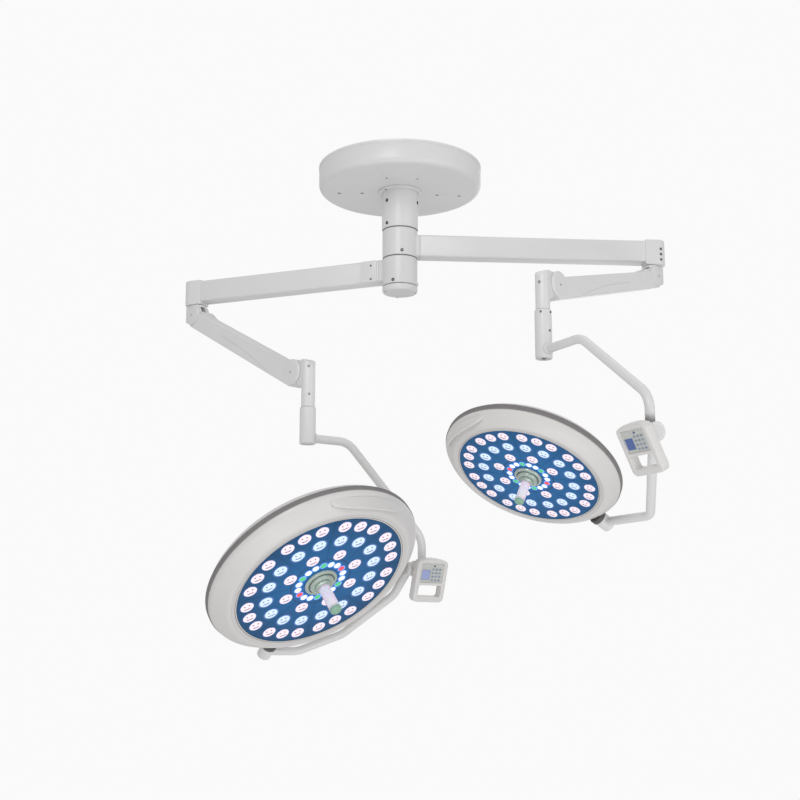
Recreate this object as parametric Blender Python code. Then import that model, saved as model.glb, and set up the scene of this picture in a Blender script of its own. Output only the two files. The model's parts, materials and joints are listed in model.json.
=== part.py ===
"""Two-headed surgical light that hangs from a ceiling plate.

Metres, +Z up. The origin is the centre of the ceiling plate's top face. Each lamp hangs on an
extension arm, a spring arm, an upper bow and a lower bow, and every joint axis is an empty.
"""

from math import asin, cos, degrees, pi, radians, sin

import bmesh
import bpy
from mathutils import Matrix, Vector

GAP = 0.0003  # between faces that touch
ROUND = 24  # sides of a large round piece
HEAD_ROUND = 36  # sides of a head's shells
SMALL_ROUND = 14  # sides of a pin or a shaft

# Ceiling fixing and column
PLATE_RADIUS, PLATE_THICKNESS = 0.130, 0.012
CANOPY_RADIUS, CANOPY_TOP, CANOPY_BOTTOM = 0.265, -0.004, -0.080
CANOPY_EDGE, CANOPY_SEAM, SHEET = 0.018, 5.4, 0.003  # the seam's azimuth is in degrees
TUBE_RADIUS, TUBE_WALL, TUBE_BOTTOM = 0.059, 0.007, -0.214
COLLAR_RADIUS, COLLAR_HEIGHT = 0.0705, 0.009
PLUG_TOP, SHAFT_RADIUS, BEARING_RADIUS = -0.150, 0.028, 0.040
HUB_RADIUS = 0.057
CAP_TOP, CAP_BOTTOM = -0.406, -0.425

# Extension arms: a hollow box section between the hub and a vertical bearing housing
BEAM_WIDTH, BEAM_HEIGHT, BEAM_WALL, BEAM_CORNER = 0.058, 0.072, 0.004, 0.006
BEAM_START = 0.0633
HOUSING_RADIUS, HOUSING_ABOVE, HOUSING_BELOW = 0.0295, 0.040, 0.044
HOUSING_BACK, HOUSING_NOSE = 0.024, 0.017  # from the bearing's axis along the beam
SPINDLE_RADIUS, SPINDLE_DEPTH = 0.0202, 0.070
PIVOT_DROP = 0.0815  # from the beam's middle to the spring arm's rear pivot

# Spring arms: a bar between two pivots, a parallel rod under it, and a hollow cover
ARM_LENGTH = 0.615
EYE_RADIUS, BAR_TOP, BAR_BOTTOM, BAR_HALF = 0.0135, 0.013, -0.008, 0.008
ROD_DROP, ROD_HALF, ROD_EYE, TRUNNION_RADIUS = 0.022, 0.004, 0.0055, 0.003
COVER_HALF, COVER_SKIN, COVER_NOSE = 0.026, 0.003, 0.040
COVER_TOP_REAR, COVER_TOP_FRONT = 0.018, 0.021
COVER_BOTTOM_REAR, COVER_BOTTOM_FRONT = -0.038, -0.044
CHEEK_RADIUS, SEAT_RADIUS, NOSE_SEAT = 0.036, 0.0375, 0.0415
PIN_RADIUS, PIN_HOLE, TRUNNION_HOLE = 0.008, 0.0083, 0.0036
KNUCKLE_RADIUS, KNUCKLE_TOP = 0.0212, 0.032
KNUCKLE_REACH = 0.056  # from the front pivot to the lamp's vertical axis
FORK_INNER, FORK_OUTER = 0.0085, 0.016

# Lamp suspension
SLEEVE_RADIUS, SLEEVE_BOTTOM = 0.0247, -0.230
BOW_RADIUS, BOW_SIDES = 0.013, 10
PIVOT_RADIUS, PIVOT_OUT, PIVOT_IN = 0.025, 0.030, 0.035
STUB_RADIUS, STUB_LENGTH = 0.0215, 0.028
JOINT_SHAFT, JOINT_BORE = 0.0100, 0.0106
PANEL_WIDTH, PANEL_TOP, PANEL_BOTTOM = 0.115, 0.040, -0.092
PANEL_BACK, PANEL_FRONT, BRACKET_BACK = -0.0320, -0.0590, -0.0258
KEYPAD_WIDTH, KEYPAD_TOP, KEYPAD_BOTTOM = 0.086, 0.031, -0.030
GRIP_WIDTH, GRIP_TOP, GRIP_BOTTOM = 0.086, -0.0385, -0.0745

# One entry for each lamp. Angles are in degrees, azimuths from +X towards +Y.
LAMPS = {
    "small": dict(
        head=0.2585, hub=(-0.216, -0.310), beam=-0.270, reach=0.830, arm_turn=4.6,
        spring_turn=-129.8, spring_pitch=15.2, upright=-0.086, bow_level=-0.2045, drop=0.5092,
        bow_turn=-60.2, bow_corner=0.172, bow_reach=0.4452, bow_fall=0.0957, centre=-0.0496,
        sag=0.0251, tilt=30.1, roll=9.7, panel_tilt=27.5, handle=0.070, cover=False,
        lower_path=((1, 0.2), (0.45, 1)),
    ),
    "large": dict(
        head=0.336, hub=(-0.312, -0.404), beam=-0.350, reach=0.742, arm_turn=159.0,
        spring_turn=-46.6, spring_pitch=27.6, upright=-0.116, bow_level=-0.2105, drop=0.5897,
        bow_turn=34.4, bow_corner=0.1447, bow_reach=0.4226, bow_fall=0.0983, centre=0.0197,
        sag=0.0194, tilt=39.8, roll=5.8, panel_tilt=16.0, handle=0.092, cover=True,
        lower_path=((1, 0.31), (0.69, 0.79), (0.324, 1)),
    ),
}  # fmt: skip


def clear_scene():
    for item in list(bpy.data.objects):
        bpy.data.objects.remove(item, do_unlink=True)


def make_material(name, colour, roughness, metallic=0.0):
    material = bpy.data.materials.new(name)
    material.use_nodes = True
    shader = material.node_tree.nodes["Principled BSDF"]
    shader.inputs["Base Color"].default_value = (*colour, 1.0)
    shader.inputs["Roughness"].default_value = roughness
    shader.inputs["Metallic"].default_value = metallic
    material.diffuse_color = (*colour, 1.0)
    return material


def make_materials():
    return {
        "paint": make_material("paint", (0.80, 0.79, 0.77), 0.35),
        "shell": make_material("shell", (0.78, 0.77, 0.75), 0.40),
        "gasket": make_material("gasket", (0.24, 0.23, 0.23), 0.60),
        "dark": make_material("dark", (0.16, 0.16, 0.15), 0.50),
        "steel": make_material("steel", (0.62, 0.62, 0.61), 0.30, 1.0),
        "plate": make_material("plate", (0.06, 0.18, 0.38), 0.30),
        "keypad": make_material("keypad", (0.45, 0.46, 0.44), 0.50),
        "socket": make_material("socket", (0.42, 0.47, 0.44), 0.30, 0.8),
        "handle": make_material("handle", (0.82, 0.76, 0.80), 0.30),
    }


def empty(name, parent=None, location=(0, 0, 0), rotation=(0, 0, 0)):
    """An axis or a frame. The rotation is in degrees."""
    frame = bpy.data.objects.new(name, None)
    frame.empty_display_size = 0.05
    bpy.context.scene.collection.objects.link(frame)
    frame.parent = parent
    frame.location = location
    frame.rotation_euler = [radians(angle) for angle in rotation]
    return frame


def place(name, mesh_data, parent, material=None):
    """Makes an object from a bmesh. Without a material it is a helper for a Boolean."""
    bmesh.ops.recalc_face_normals(mesh_data, faces=mesh_data.faces[:])
    mesh = bpy.data.meshes.new(name)
    mesh_data.to_mesh(mesh)
    mesh_data.free()
    piece = bpy.data.objects.new(name, mesh)
    bpy.context.scene.collection.objects.link(piece)
    piece.parent = parent
    if material is None:
        piece.hide_render = True
        piece.display_type = "WIRE"
    else:
        mesh.materials.append(material)
        mesh.shade_smooth()
        mesh.set_sharp_from_angle(angle=radians(35))
    return piece


def combine(piece, operation, helper_mesh):
    """Adds a Boolean with a hidden helper that shares the piece's frame."""
    name = f"{piece.name}_helper_{len(piece.modifiers)}"
    modifier = piece.modifiers.new(name, "BOOLEAN")
    modifier.operation = operation
    modifier.solver = "EXACT"
    modifier.object = place(name, helper_mesh, piece.parent)


def cut(piece, helper_mesh):
    combine(piece, "DIFFERENCE", helper_mesh)


def join(piece, helper_mesh):
    combine(piece, "UNION", helper_mesh)


def turned(profile, sides=ROUND, closed=False, sweep=(0.0, 360.0)):
    """Turns a profile of (radius, z) points about Z. A closed profile is a ring's section."""
    mesh_data = bmesh.new()
    start, end = (radians(angle) for angle in sweep)
    whole = abs(end - start - 2 * pi) < 1e-9
    steps = sides if whole else sides + 1
    rings = []
    for radius, height in profile:
        if radius < 1e-9:
            rings.append([mesh_data.verts.new((0, 0, height))] * steps)
            continue
        ring = []
        for step in range(steps):
            angle = start + (end - start) * step / sides
            ring.append(mesh_data.verts.new((radius * cos(angle), radius * sin(angle), height)))
        rings.append(ring)
    pairs = list(zip(rings, rings[1:]))
    if closed:
        pairs.append((rings[-1], rings[0]))
    for lower, upper in pairs:
        for step in range(sides):
            after = (step + 1) % steps
            corners = [lower[step], lower[after], upper[after], upper[step]]
            corners = list(dict.fromkeys(corners))
            if len(corners) > 2:
                mesh_data.faces.new(corners)
    if not whole:
        mesh_data.faces.new([ring[0] for ring in rings])
        mesh_data.faces.new([ring[-1] for ring in rings])
    return mesh_data


def along(mesh_data, axis, centre=(0, 0, 0)):
    """Moves a piece turned about Z so that it is about X or Y through a centre."""
    turns = {"X": Matrix.Rotation(pi / 2, 4, "Y"), "Y": Matrix.Rotation(-pi / 2, 4, "X")}
    matrix = Matrix.Translation(centre) @ turns.get(axis, Matrix.Identity(4))
    bmesh.ops.transform(mesh_data, matrix=matrix, verts=mesh_data.verts[:])
    return mesh_data


def cylinder(radius, low, high, axis="Z", centre=(0, 0, 0), sides=SMALL_ROUND):
    profile = [(0, low), (radius, low), (radius, high), (0, high)]
    return along(turned(profile, sides), axis, centre)


def block(low, high):
    """A box between two corners."""
    mesh_data = bmesh.new()
    bmesh.ops.create_cube(mesh_data, size=1.0)
    size = Vector(high) - Vector(low)
    middle = (Vector(high) + Vector(low)) / 2
    matrix = Matrix.Translation(middle) @ Matrix.Diagonal((*size, 1.0))
    bmesh.ops.transform(mesh_data, matrix=matrix, verts=mesh_data.verts[:])
    return mesh_data


def prism(outline, low, high):
    """Extrudes an outline of (x, z) points along Y from low to high."""
    mesh_data = bmesh.new()
    near = [mesh_data.verts.new((x, low, z)) for x, z in outline]
    far = [mesh_data.verts.new((x, high, z)) for x, z in outline]
    mesh_data.faces.new(near)
    mesh_data.faces.new(far[::-1])
    for index in range(len(outline)):
        after = (index + 1) % len(outline)
        mesh_data.faces.new([near[index], far[index], far[after], near[after]])
    return mesh_data


def arc(centre, radius, start, end, steps):
    """Points (x, z) on an arc, with the angles in degrees."""
    points = []
    for step in range(steps + 1):
        angle = radians(start + (end - start) * step / steps)
        points.append((centre[0] + radius * cos(angle), centre[1] + radius * sin(angle)))
    return points


def rounded_rectangle(width, height, corner, steps=3):
    points = []
    for quarter, (side, up) in enumerate(((1, 1), (-1, 1), (-1, -1), (1, -1))):
        centre = (side * (width / 2 - corner), up * (height / 2 - corner))
        points += arc(centre, corner, 90 * quarter, 90 * quarter + 90, steps)
    return points


def hollow_section(width, height, wall, corner, start, end):
    """A box section along X, open at both ends."""
    mesh_data = bmesh.new()
    loops = []
    for shrink in (0.0, wall):
        outline = rounded_rectangle(width - 2 * shrink, height - 2 * shrink, corner - shrink * 0.6)
        for x in (start, end):
            loops.append([mesh_data.verts.new((x, y, z)) for y, z in outline])
    outer_start, outer_end, inner_start, inner_end = loops
    count = len(outer_start)
    bands = (
        (outer_start, outer_end), (outer_end, inner_end),
        (inner_end, inner_start), (inner_start, outer_start),
    )  # fmt: skip
    for first, second in bands:
        for index in range(count):
            after = (index + 1) % count
            mesh_data.faces.new([first[index], first[after], second[after], second[index]])
    return mesh_data


def bent_path(corners, bend, steps=4):
    """A path through the corners, with each inner corner rounded to the bend radius."""
    points = [Vector(corners[0])]
    for before, corner, after in zip(corners, corners[1:], corners[2:]):
        corner = Vector(corner)
        back = (Vector(before) - corner).normalized()
        ahead = (Vector(after) - corner).normalized()
        half = back.angle(ahead) / 2
        centre = corner + (back + ahead).normalized() * bend / sin(half)
        first = corner + back * bend * cos(half) / sin(half) - centre
        last = corner + ahead * bend * cos(half) / sin(half) - centre
        for step in range(steps + 1):
            points.append(centre + bend * first.slerp(last, step / steps))
    points.append(Vector(corners[-1]))
    return points


def swept(points, radius, across, sides=BOW_SIDES):
    """A round tube along a flat path. across is the unit vector at right angles to the path."""
    mesh_data = bmesh.new()
    across = Vector(across)
    rings = []
    for index, point in enumerate(points):
        before = points[max(index - 1, 0)]
        after = points[min(index + 1, len(points) - 1)]
        ahead = (after - before).normalized()
        side = across.cross(ahead).normalized()
        up = ahead.cross(side)
        ring = []
        for step in range(sides):
            angle = 2 * pi * step / sides
            ring.append(mesh_data.verts.new(point + radius * (cos(angle) * side + sin(angle) * up)))
        rings.append(ring)
    for lower, upper in zip(rings, rings[1:]):
        for step in range(sides):
            after = (step + 1) % sides
            mesh_data.faces.new([lower[step], lower[after], upper[after], upper[step]])
    mesh_data.faces.new(rings[0][::-1])
    mesh_data.faces.new(rings[-1])
    return mesh_data


def make_ceiling(root, look):
    """The plate, canopy, drop tube and the shaft that carries both hubs."""
    plate = cylinder(PLATE_RADIUS, -PLATE_THICKNESS, 0, sides=ROUND)
    place("ceiling_plate", plate, root, look["steel"])

    edge_top = CANOPY_BOTTOM + CANOPY_EDGE
    hole = TUBE_RADIUS + 0.002
    corner = arc((CANOPY_RADIUS - CANOPY_EDGE, edge_top), CANOPY_EDGE, 0, -90, 3)
    inner = arc((CANOPY_RADIUS - CANOPY_EDGE, edge_top), CANOPY_EDGE - SHEET, -90, 0, 3)
    section = [(CANOPY_RADIUS, CANOPY_TOP), *corner, (hole, CANOPY_BOTTOM)]
    section += [(hole, CANOPY_BOTTOM + SHEET), *inner, (CANOPY_RADIUS - SHEET, CANOPY_TOP)]
    seam = 0.1  # degrees left open at each end of a half
    for name, half_turn in (("canopy_rear_shell", 0), ("canopy_front_shell", 180)):
        start = CANOPY_SEAM + half_turn
        half = turned(section, ROUND // 2, True, (start + seam, start + 180 - seam))
        place(name, half, root, look["paint"])

    inside = TUBE_RADIUS - TUBE_WALL
    tube = [
        (inside, -PLATE_THICKNESS - GAP), (TUBE_RADIUS, -PLATE_THICKNESS - GAP),
        (TUBE_RADIUS, TUBE_BOTTOM), (inside, TUBE_BOTTOM),
    ]  # fmt: skip
    place("drop_tube", turned(tube, closed=True), root, look["paint"])
    collar_top = CANOPY_BOTTOM - GAP
    collar_low = collar_top - COLLAR_HEIGHT
    collar = [
        (TUBE_RADIUS + GAP, collar_top), (COLLAR_RADIUS, collar_top),
        (COLLAR_RADIUS, collar_low + 0.002), (COLLAR_RADIUS - 0.002, collar_low),
        (TUBE_RADIUS + GAP, collar_low),
    ]  # fmt: skip
    place("canopy_collar", turned(collar, closed=True), root, look["paint"])

    spindle = [
        (0, PLUG_TOP), (inside - GAP, PLUG_TOP), (inside - GAP, TUBE_BOTTOM),
        (SHAFT_RADIUS, TUBE_BOTTOM), (SHAFT_RADIUS, CAP_TOP + GAP), (0, CAP_TOP + GAP),
    ]  # fmt: skip
    place("column_spindle", turned(spindle), root, look["steel"])
    cap = [
        (0, CAP_TOP), (HUB_RADIUS, CAP_TOP), (HUB_RADIUS, CAP_BOTTOM + 0.003),
        (HUB_RADIUS - 0.003, CAP_BOTTOM), (0, CAP_BOTTOM),
    ]  # fmt: skip
    place("spindle_cap", turned(cap), root, look["paint"])


def make_extension_arm(name, lamp, turn, look):
    """Hub, bearing, box beam and end housing. turn is the arm's frame, at the beam's height."""
    top, bottom = (level - lamp["beam"] for level in lamp["hub"])
    hub = place(f"{name}_hub", cylinder(HUB_RADIUS, bottom, top, sides=ROUND), turn, look["paint"])
    boss = (BEAM_WIDTH / 2 + 0.0015, BEAM_HEIGHT / 2 + 0.001)
    join(hub, block((0.030, -boss[0], -boss[1]), (BEAM_START - GAP, boss[0], boss[1])))
    cut(hub, cylinder(BEARING_RADIUS + GAP, bottom - 0.01, top + 0.01, sides=ROUND))
    middle = (top + bottom) / 2
    bearing = [
        (SHAFT_RADIUS + GAP, middle - 0.016), (BEARING_RADIUS, middle - 0.016),
        (BEARING_RADIUS, middle + 0.016), (SHAFT_RADIUS + GAP, middle + 0.016),
    ]  # fmt: skip
    place(f"{name}_hub_bearing", turned(bearing, closed=True), turn, look["steel"])

    reach = lamp["reach"]
    beam_end = reach - HOUSING_BACK
    beam = hollow_section(BEAM_WIDTH, BEAM_HEIGHT, BEAM_WALL, BEAM_CORNER, BEAM_START, beam_end)
    place(f"{name}_extension_beam", beam, turn, look["paint"])
    levels = (-HOUSING_BELOW, HOUSING_ABOVE)
    nose = (reach + HOUSING_NOSE, 0, 0)
    end = cylinder(HOUSING_RADIUS, *levels, centre=nose, sides=ROUND)
    housing = place(f"{name}_end_housing", end, turn, look["paint"])
    cheek = HOUSING_RADIUS - 0.0005
    join(housing, block((beam_end + GAP, -cheek, levels[0]), (nose[0], cheek, levels[1])))
    bore_top = SPINDLE_DEPTH - HOUSING_BELOW
    bore = (SPINDLE_RADIUS + GAP, -HOUSING_BELOW - 0.01, bore_top)
    cut(housing, cylinder(*bore, centre=(reach, 0, 0), sides=ROUND))
    if lamp["cover"]:
        face = BEAM_WIDTH / 2 + GAP
        cover = block((0.070, face, -BEAM_HEIGHT / 2), (0.124, face + 0.003, BEAM_HEIGHT / 2))
        place(f"{name}_access_cover", cover, turn, look["paint"])


def make_rear_knuckle(name, swivel, look):
    """A fork under the end housing. swivel's origin is the rear pivot, with +X along the arm."""
    below_housing = PIVOT_DROP - HOUSING_BELOW
    disc = cylinder(CHEEK_RADIUS, -COVER_HALF, COVER_HALF, "Y", sides=ROUND)
    knuckle = place(f"{name}_rear_knuckle", disc, swivel, look["paint"])
    join(knuckle, cylinder(COVER_HALF - 0.001, -0.018, below_housing - 0.0008, sides=ROUND))
    join(knuckle, block((-0.0355, -0.025, -0.024), (0, 0.025, below_housing - 0.0010)))
    spindle_top = below_housing + SPINDLE_DEPTH - 0.002
    join(knuckle, cylinder(SPINDLE_RADIUS, 0.020, spindle_top, sides=ROUND))
    cut(knuckle, block((-0.0165, -BAR_HALF - 0.0005, -0.06), (0.06, BAR_HALF + 0.0005, 0.028)))
    cut(knuckle, cylinder(PIN_HOLE, -0.04, 0.04, "Y"))
    cut(knuckle, cylinder(TRUNNION_HOLE, -0.04, 0.04, "Y", (0, 0, -ROD_DROP), 12))
    pin = cylinder(PIN_RADIUS, -COVER_HALF + 0.0005, COVER_HALF - 0.0005, "Y")
    place(f"{name}_rear_pin", pin, swivel, look["steel"])


def make_spring_arm(name, pitch, look):
    """Bar, spring and cover. pitch's origin is the rear pivot, with +X at the front pivot."""
    top, bottom = (degrees(asin(level / EYE_RADIUS)) for level in (BAR_TOP, BAR_BOTTOM))
    outline = arc((0, 0), EYE_RADIUS, 180 - top, 180 - bottom, 8)
    outline += arc((ARM_LENGTH, 0), EYE_RADIUS, bottom, top, 8)
    bar = place(f"{name}_arm_bar", prism(outline, -BAR_HALF, BAR_HALF), pitch, look["steel"])
    for x in (0, ARM_LENGTH):
        cut(bar, cylinder(PIN_HOLE, -0.02, 0.02, "Y", (x, 0, 0)))

    spring = [(0, 0.090)]
    coils, wire, spacing = 9, 0.0055, 0.036
    for coil in range(coils):
        start = 0.090 + spacing * coil
        spring += [(wire, start), (wire - 0.0012, start + spacing * 0.7)]
    spring += [(wire, 0.090 + spacing * coils), (0, 0.090 + spacing * coils)]
    placed = along(turned(spring, 8), "X", (0, 0.0155, 0.002))
    place(f"{name}_balance_spring", placed, pitch, look["steel"])

    front = (ARM_LENGTH, 0)
    start, end = -62, 180 - degrees(asin(COVER_TOP_FRONT / COVER_NOSE))
    outside = [(0, COVER_BOTTOM_REAR), (ARM_LENGTH + 0.010, COVER_BOTTOM_FRONT)]
    outside += [*arc(front, COVER_NOSE, start, end, 16), (0, COVER_TOP_REAR)]
    cover = prism(outside, -COVER_HALF, COVER_HALF)
    cover = place(f"{name}_arm_cover", cover, pitch, look["paint"])
    skin = COVER_SKIN
    end = 180 - degrees(asin((COVER_TOP_FRONT - skin) / (COVER_NOSE - skin)))
    inside = [(-0.01, COVER_BOTTOM_REAR + skin), (ARM_LENGTH + 0.008, COVER_BOTTOM_FRONT + skin)]
    inside += [*arc(front, COVER_NOSE - skin, start, end, 16), (-0.01, COVER_TOP_REAR - skin)]
    cut(cover, prism(inside, -COVER_HALF + skin, COVER_HALF - skin))
    cut(cover, cylinder(SEAT_RADIUS, -0.04, 0.04, "Y", sides=ROUND))
    window = [front, *arc(front, 0.060, -34, 68, 4)]
    cut(cover, prism(window, -FORK_OUTER - 0.0015, FORK_OUTER + 0.0015))
    pin = cylinder(PIN_RADIUS, -FORK_OUTER, FORK_OUTER, "Y", (ARM_LENGTH, 0, 0))
    place(f"{name}_front_pin", pin, pitch, look["steel"])


def make_tie_rod(name, rod, look):
    """The parallel rod, with a trunnion at each end. rod's origin is its rear pivot."""
    angle = degrees(asin(ROD_HALF / ROD_EYE))
    outline = arc((0, 0), ROD_EYE, angle, 360 - angle, 8)
    outline += arc((ARM_LENGTH, 0), ROD_EYE, angle - 180, 180 - angle, 8)
    link = place(f"{name}_tie_rod", prism(outline, -ROD_HALF, ROD_HALF), rod, look["steel"])
    join(link, cylinder(TRUNNION_RADIUS, -0.0245, 0.0245, "Y", sides=12))
    join(link, cylinder(TRUNNION_RADIUS, -FORK_OUTER, FORK_OUTER, "Y", (ARM_LENGTH, 0, 0), 12))


def make_front_knuckle(name, lamp, front, look):
    """The upright at the arm's front. front's origin is the front pivot."""
    axis = (KNUCKLE_REACH, 0, 0)
    bottom = lamp["upright"]
    body = cylinder(KNUCKLE_RADIUS, bottom, KNUCKLE_TOP, centre=axis, sides=ROUND)
    knuckle = place(f"{name}_front_knuckle", body, front, look["paint"])
    shoulder = [
        (0.018, KNUCKLE_TOP), (KNUCKLE_REACH, KNUCKLE_TOP), (KNUCKLE_REACH, -0.052),
        (0.036, -0.050), (0.0225, -0.034),
    ]  # fmt: skip
    join(knuckle, prism(shoulder, -0.020, 0.020))
    cut(knuckle, cylinder(NOSE_SEAT, -0.06, 0.06, "Y", sides=ROUND))
    outer = KNUCKLE_REACH + KNUCKLE_RADIUS
    slope = [(outer - 0.020, KNUCKLE_TOP + 0.001), (outer + 0.01, KNUCKLE_TOP - 0.029)]
    cut(knuckle, prism([*slope, (outer + 0.01, KNUCKLE_TOP + 0.01)], -0.04, 0.04))
    fork = [
        (KNUCKLE_REACH, -0.013), (KNUCKLE_REACH, 0.013), (0.010, 0.0145), (-0.008, 0.0125),
        (-0.0145, 0.0), (-0.010, -0.022), (-0.004, -0.029), (0.005, -0.029), (0.012, -0.022),
        (0.024, -0.013),
    ]  # fmt: skip
    for side in (-1, 1):
        low, high = sorted((side * FORK_INNER, side * FORK_OUTER))
        join(knuckle, prism(fork, low, high))
    cut(knuckle, cylinder(PIN_HOLE, -0.03, 0.03, "Y"))
    cut(knuckle, cylinder(TRUNNION_HOLE, -0.03, 0.03, "Y", (0, 0, -ROD_DROP), 12))
    join(knuckle, cylinder(0.0122, bottom - 0.085, bottom + 0.01, centre=axis))


def make_panel(name, lamp, frame, look):
    """Control panel in front of the pivot housing. frame's origin is on the pivot axis."""
    half = PANEL_WIDTH / 2
    outline = arc((half - 0.016, PANEL_BOTTOM + 0.016), 0.016, -90, 0, 4)
    outline += [(half, PANEL_TOP - 0.012), (half - 0.010, PANEL_TOP - 0.002)]
    outline += [(half * 0.4, PANEL_TOP + 0.006), (-half * 0.4, PANEL_TOP + 0.006)]
    outline += [(-half + 0.010, PANEL_TOP - 0.002), (-half, PANEL_TOP - 0.012)]
    outline += arc((-half + 0.016, PANEL_BOTTOM + 0.016), 0.016, 180, 270, 4)
    case = prism(outline, PANEL_FRONT, PANEL_BACK)
    case = place(f"{name}_panel_case", case, frame, look["shell"])
    join(case, block((-0.026, PANEL_BACK - 0.001, -0.026), (0.026, BRACKET_BACK, 0.026)))
    grip = GRIP_WIDTH / 2
    cut(case, block((-grip, -0.1, GRIP_BOTTOM), (grip, 0.1, GRIP_TOP)))
    pad = KEYPAD_WIDTH / 2
    recess = PANEL_FRONT + 0.004
    cut(case, block((-pad, PANEL_FRONT - 0.01, KEYPAD_BOTTOM), (pad, recess, KEYPAD_TOP)))
    low = (-pad + 0.0005, recess - 0.0018, KEYPAD_BOTTOM + 0.0005)
    high = (pad - 0.0005, recess - GAP, KEYPAD_TOP - 0.0005)
    place(f"{name}_keypad", block(low, high), frame, look["keypad"])


def make_upper_bow(name, lamp, sleeve_frame, bow_frame, look):
    """Sleeve, bent tube, pivot housing and control panel."""
    top = lamp["upright"] - 0.001
    bore = 0.0125
    sleeve = [
        (0, top - 0.090), (bore, top - 0.090), (bore, top), (SLEEVE_RADIUS - 0.001, top),
        (SLEEVE_RADIUS, top - 0.001), (SLEEVE_RADIUS, SLEEVE_BOTTOM + 0.001),
        (SLEEVE_RADIUS - 0.001, SLEEVE_BOTTOM), (0, SLEEVE_BOTTOM),
    ]  # fmt: skip
    place(f"{name}_yaw_sleeve", turned(sleeve), sleeve_frame, look["paint"])

    height = lamp["drop"] + lamp["bow_level"]
    reach, fall = lamp["bow_reach"], lamp["bow_fall"]
    corners = [(0, 0, height), (lamp["bow_corner"], 0, height), (reach, 0, fall), (reach, 0, 0)]
    tube = swept(bent_path(corners, 0.075), BOW_RADIUS, (0, 1, 0))
    bow = place(f"{name}_upper_bow", tube, bow_frame, look["paint"])
    cut(bow, cylinder(SLEEVE_RADIUS + GAP, height - 0.03, height + 0.03, sides=ROUND))
    cut(bow, cylinder(PIVOT_RADIUS + GAP, -0.05, 0.05, "X", (reach, 0, 0), ROUND))

    barrel = cylinder(PIVOT_RADIUS, -PIVOT_IN, PIVOT_OUT, "X", (reach, 0, 0), ROUND)
    housing = place(f"{name}_pivot_housing", barrel, bow_frame, look["paint"])
    cut(housing, cylinder(JOINT_BORE, -PIVOT_IN - 0.01, 0.008, "X", (reach, 0, 0)))
    panel = empty(f"{name}_panel_frame", bow_frame, (reach, 0, 0), (lamp["panel_tilt"], 0, 0))
    make_panel(name, lamp, panel, look)


def head_offset(lamp):
    """Where the head's centre lies in the lower bow's frame: a little below pivot 1."""
    return Vector((0, 0, -lamp["sag"]))


def make_lower_bow(name, lamp, frame, look):
    """The tube from the panel's pivot to the head's rim. +X is pivot 1 and +Y is pivot 2."""
    offset = head_offset(lamp)
    rim = lamp["head"]
    line = rim + 0.036
    stub_far = lamp["bow_reach"] - lamp["centre"] - PIVOT_IN - 0.0005
    middle = stub_far - BOW_RADIUS - 0.0015
    corners = [(middle, 0, 0)]
    corners += [(middle * x, line * y, offset.z * y) for x, y in lamp["lower_path"]]
    corners += [(0, line, offset.z)]
    tube = swept(bent_path(corners, 0.060), BOW_RADIUS, (0, 0, 1))
    bow = place(f"{name}_lower_bow", tube, frame, look["paint"])
    join(bow, cylinder(STUB_RADIUS, stub_far - STUB_LENGTH, stub_far, "X", sides=ROUND))
    join(bow, cylinder(JOINT_SHAFT, stub_far - 0.005, stub_far + 0.036, "X"))
    pivot = (0, 0, offset.z)
    join(bow, cylinder(STUB_RADIUS, rim + 0.0145, rim + 0.057, "Y", pivot, ROUND))
    join(bow, cylinder(JOINT_SHAFT, rim + 0.0025, rim + 0.020, "Y", pivot))


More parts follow.
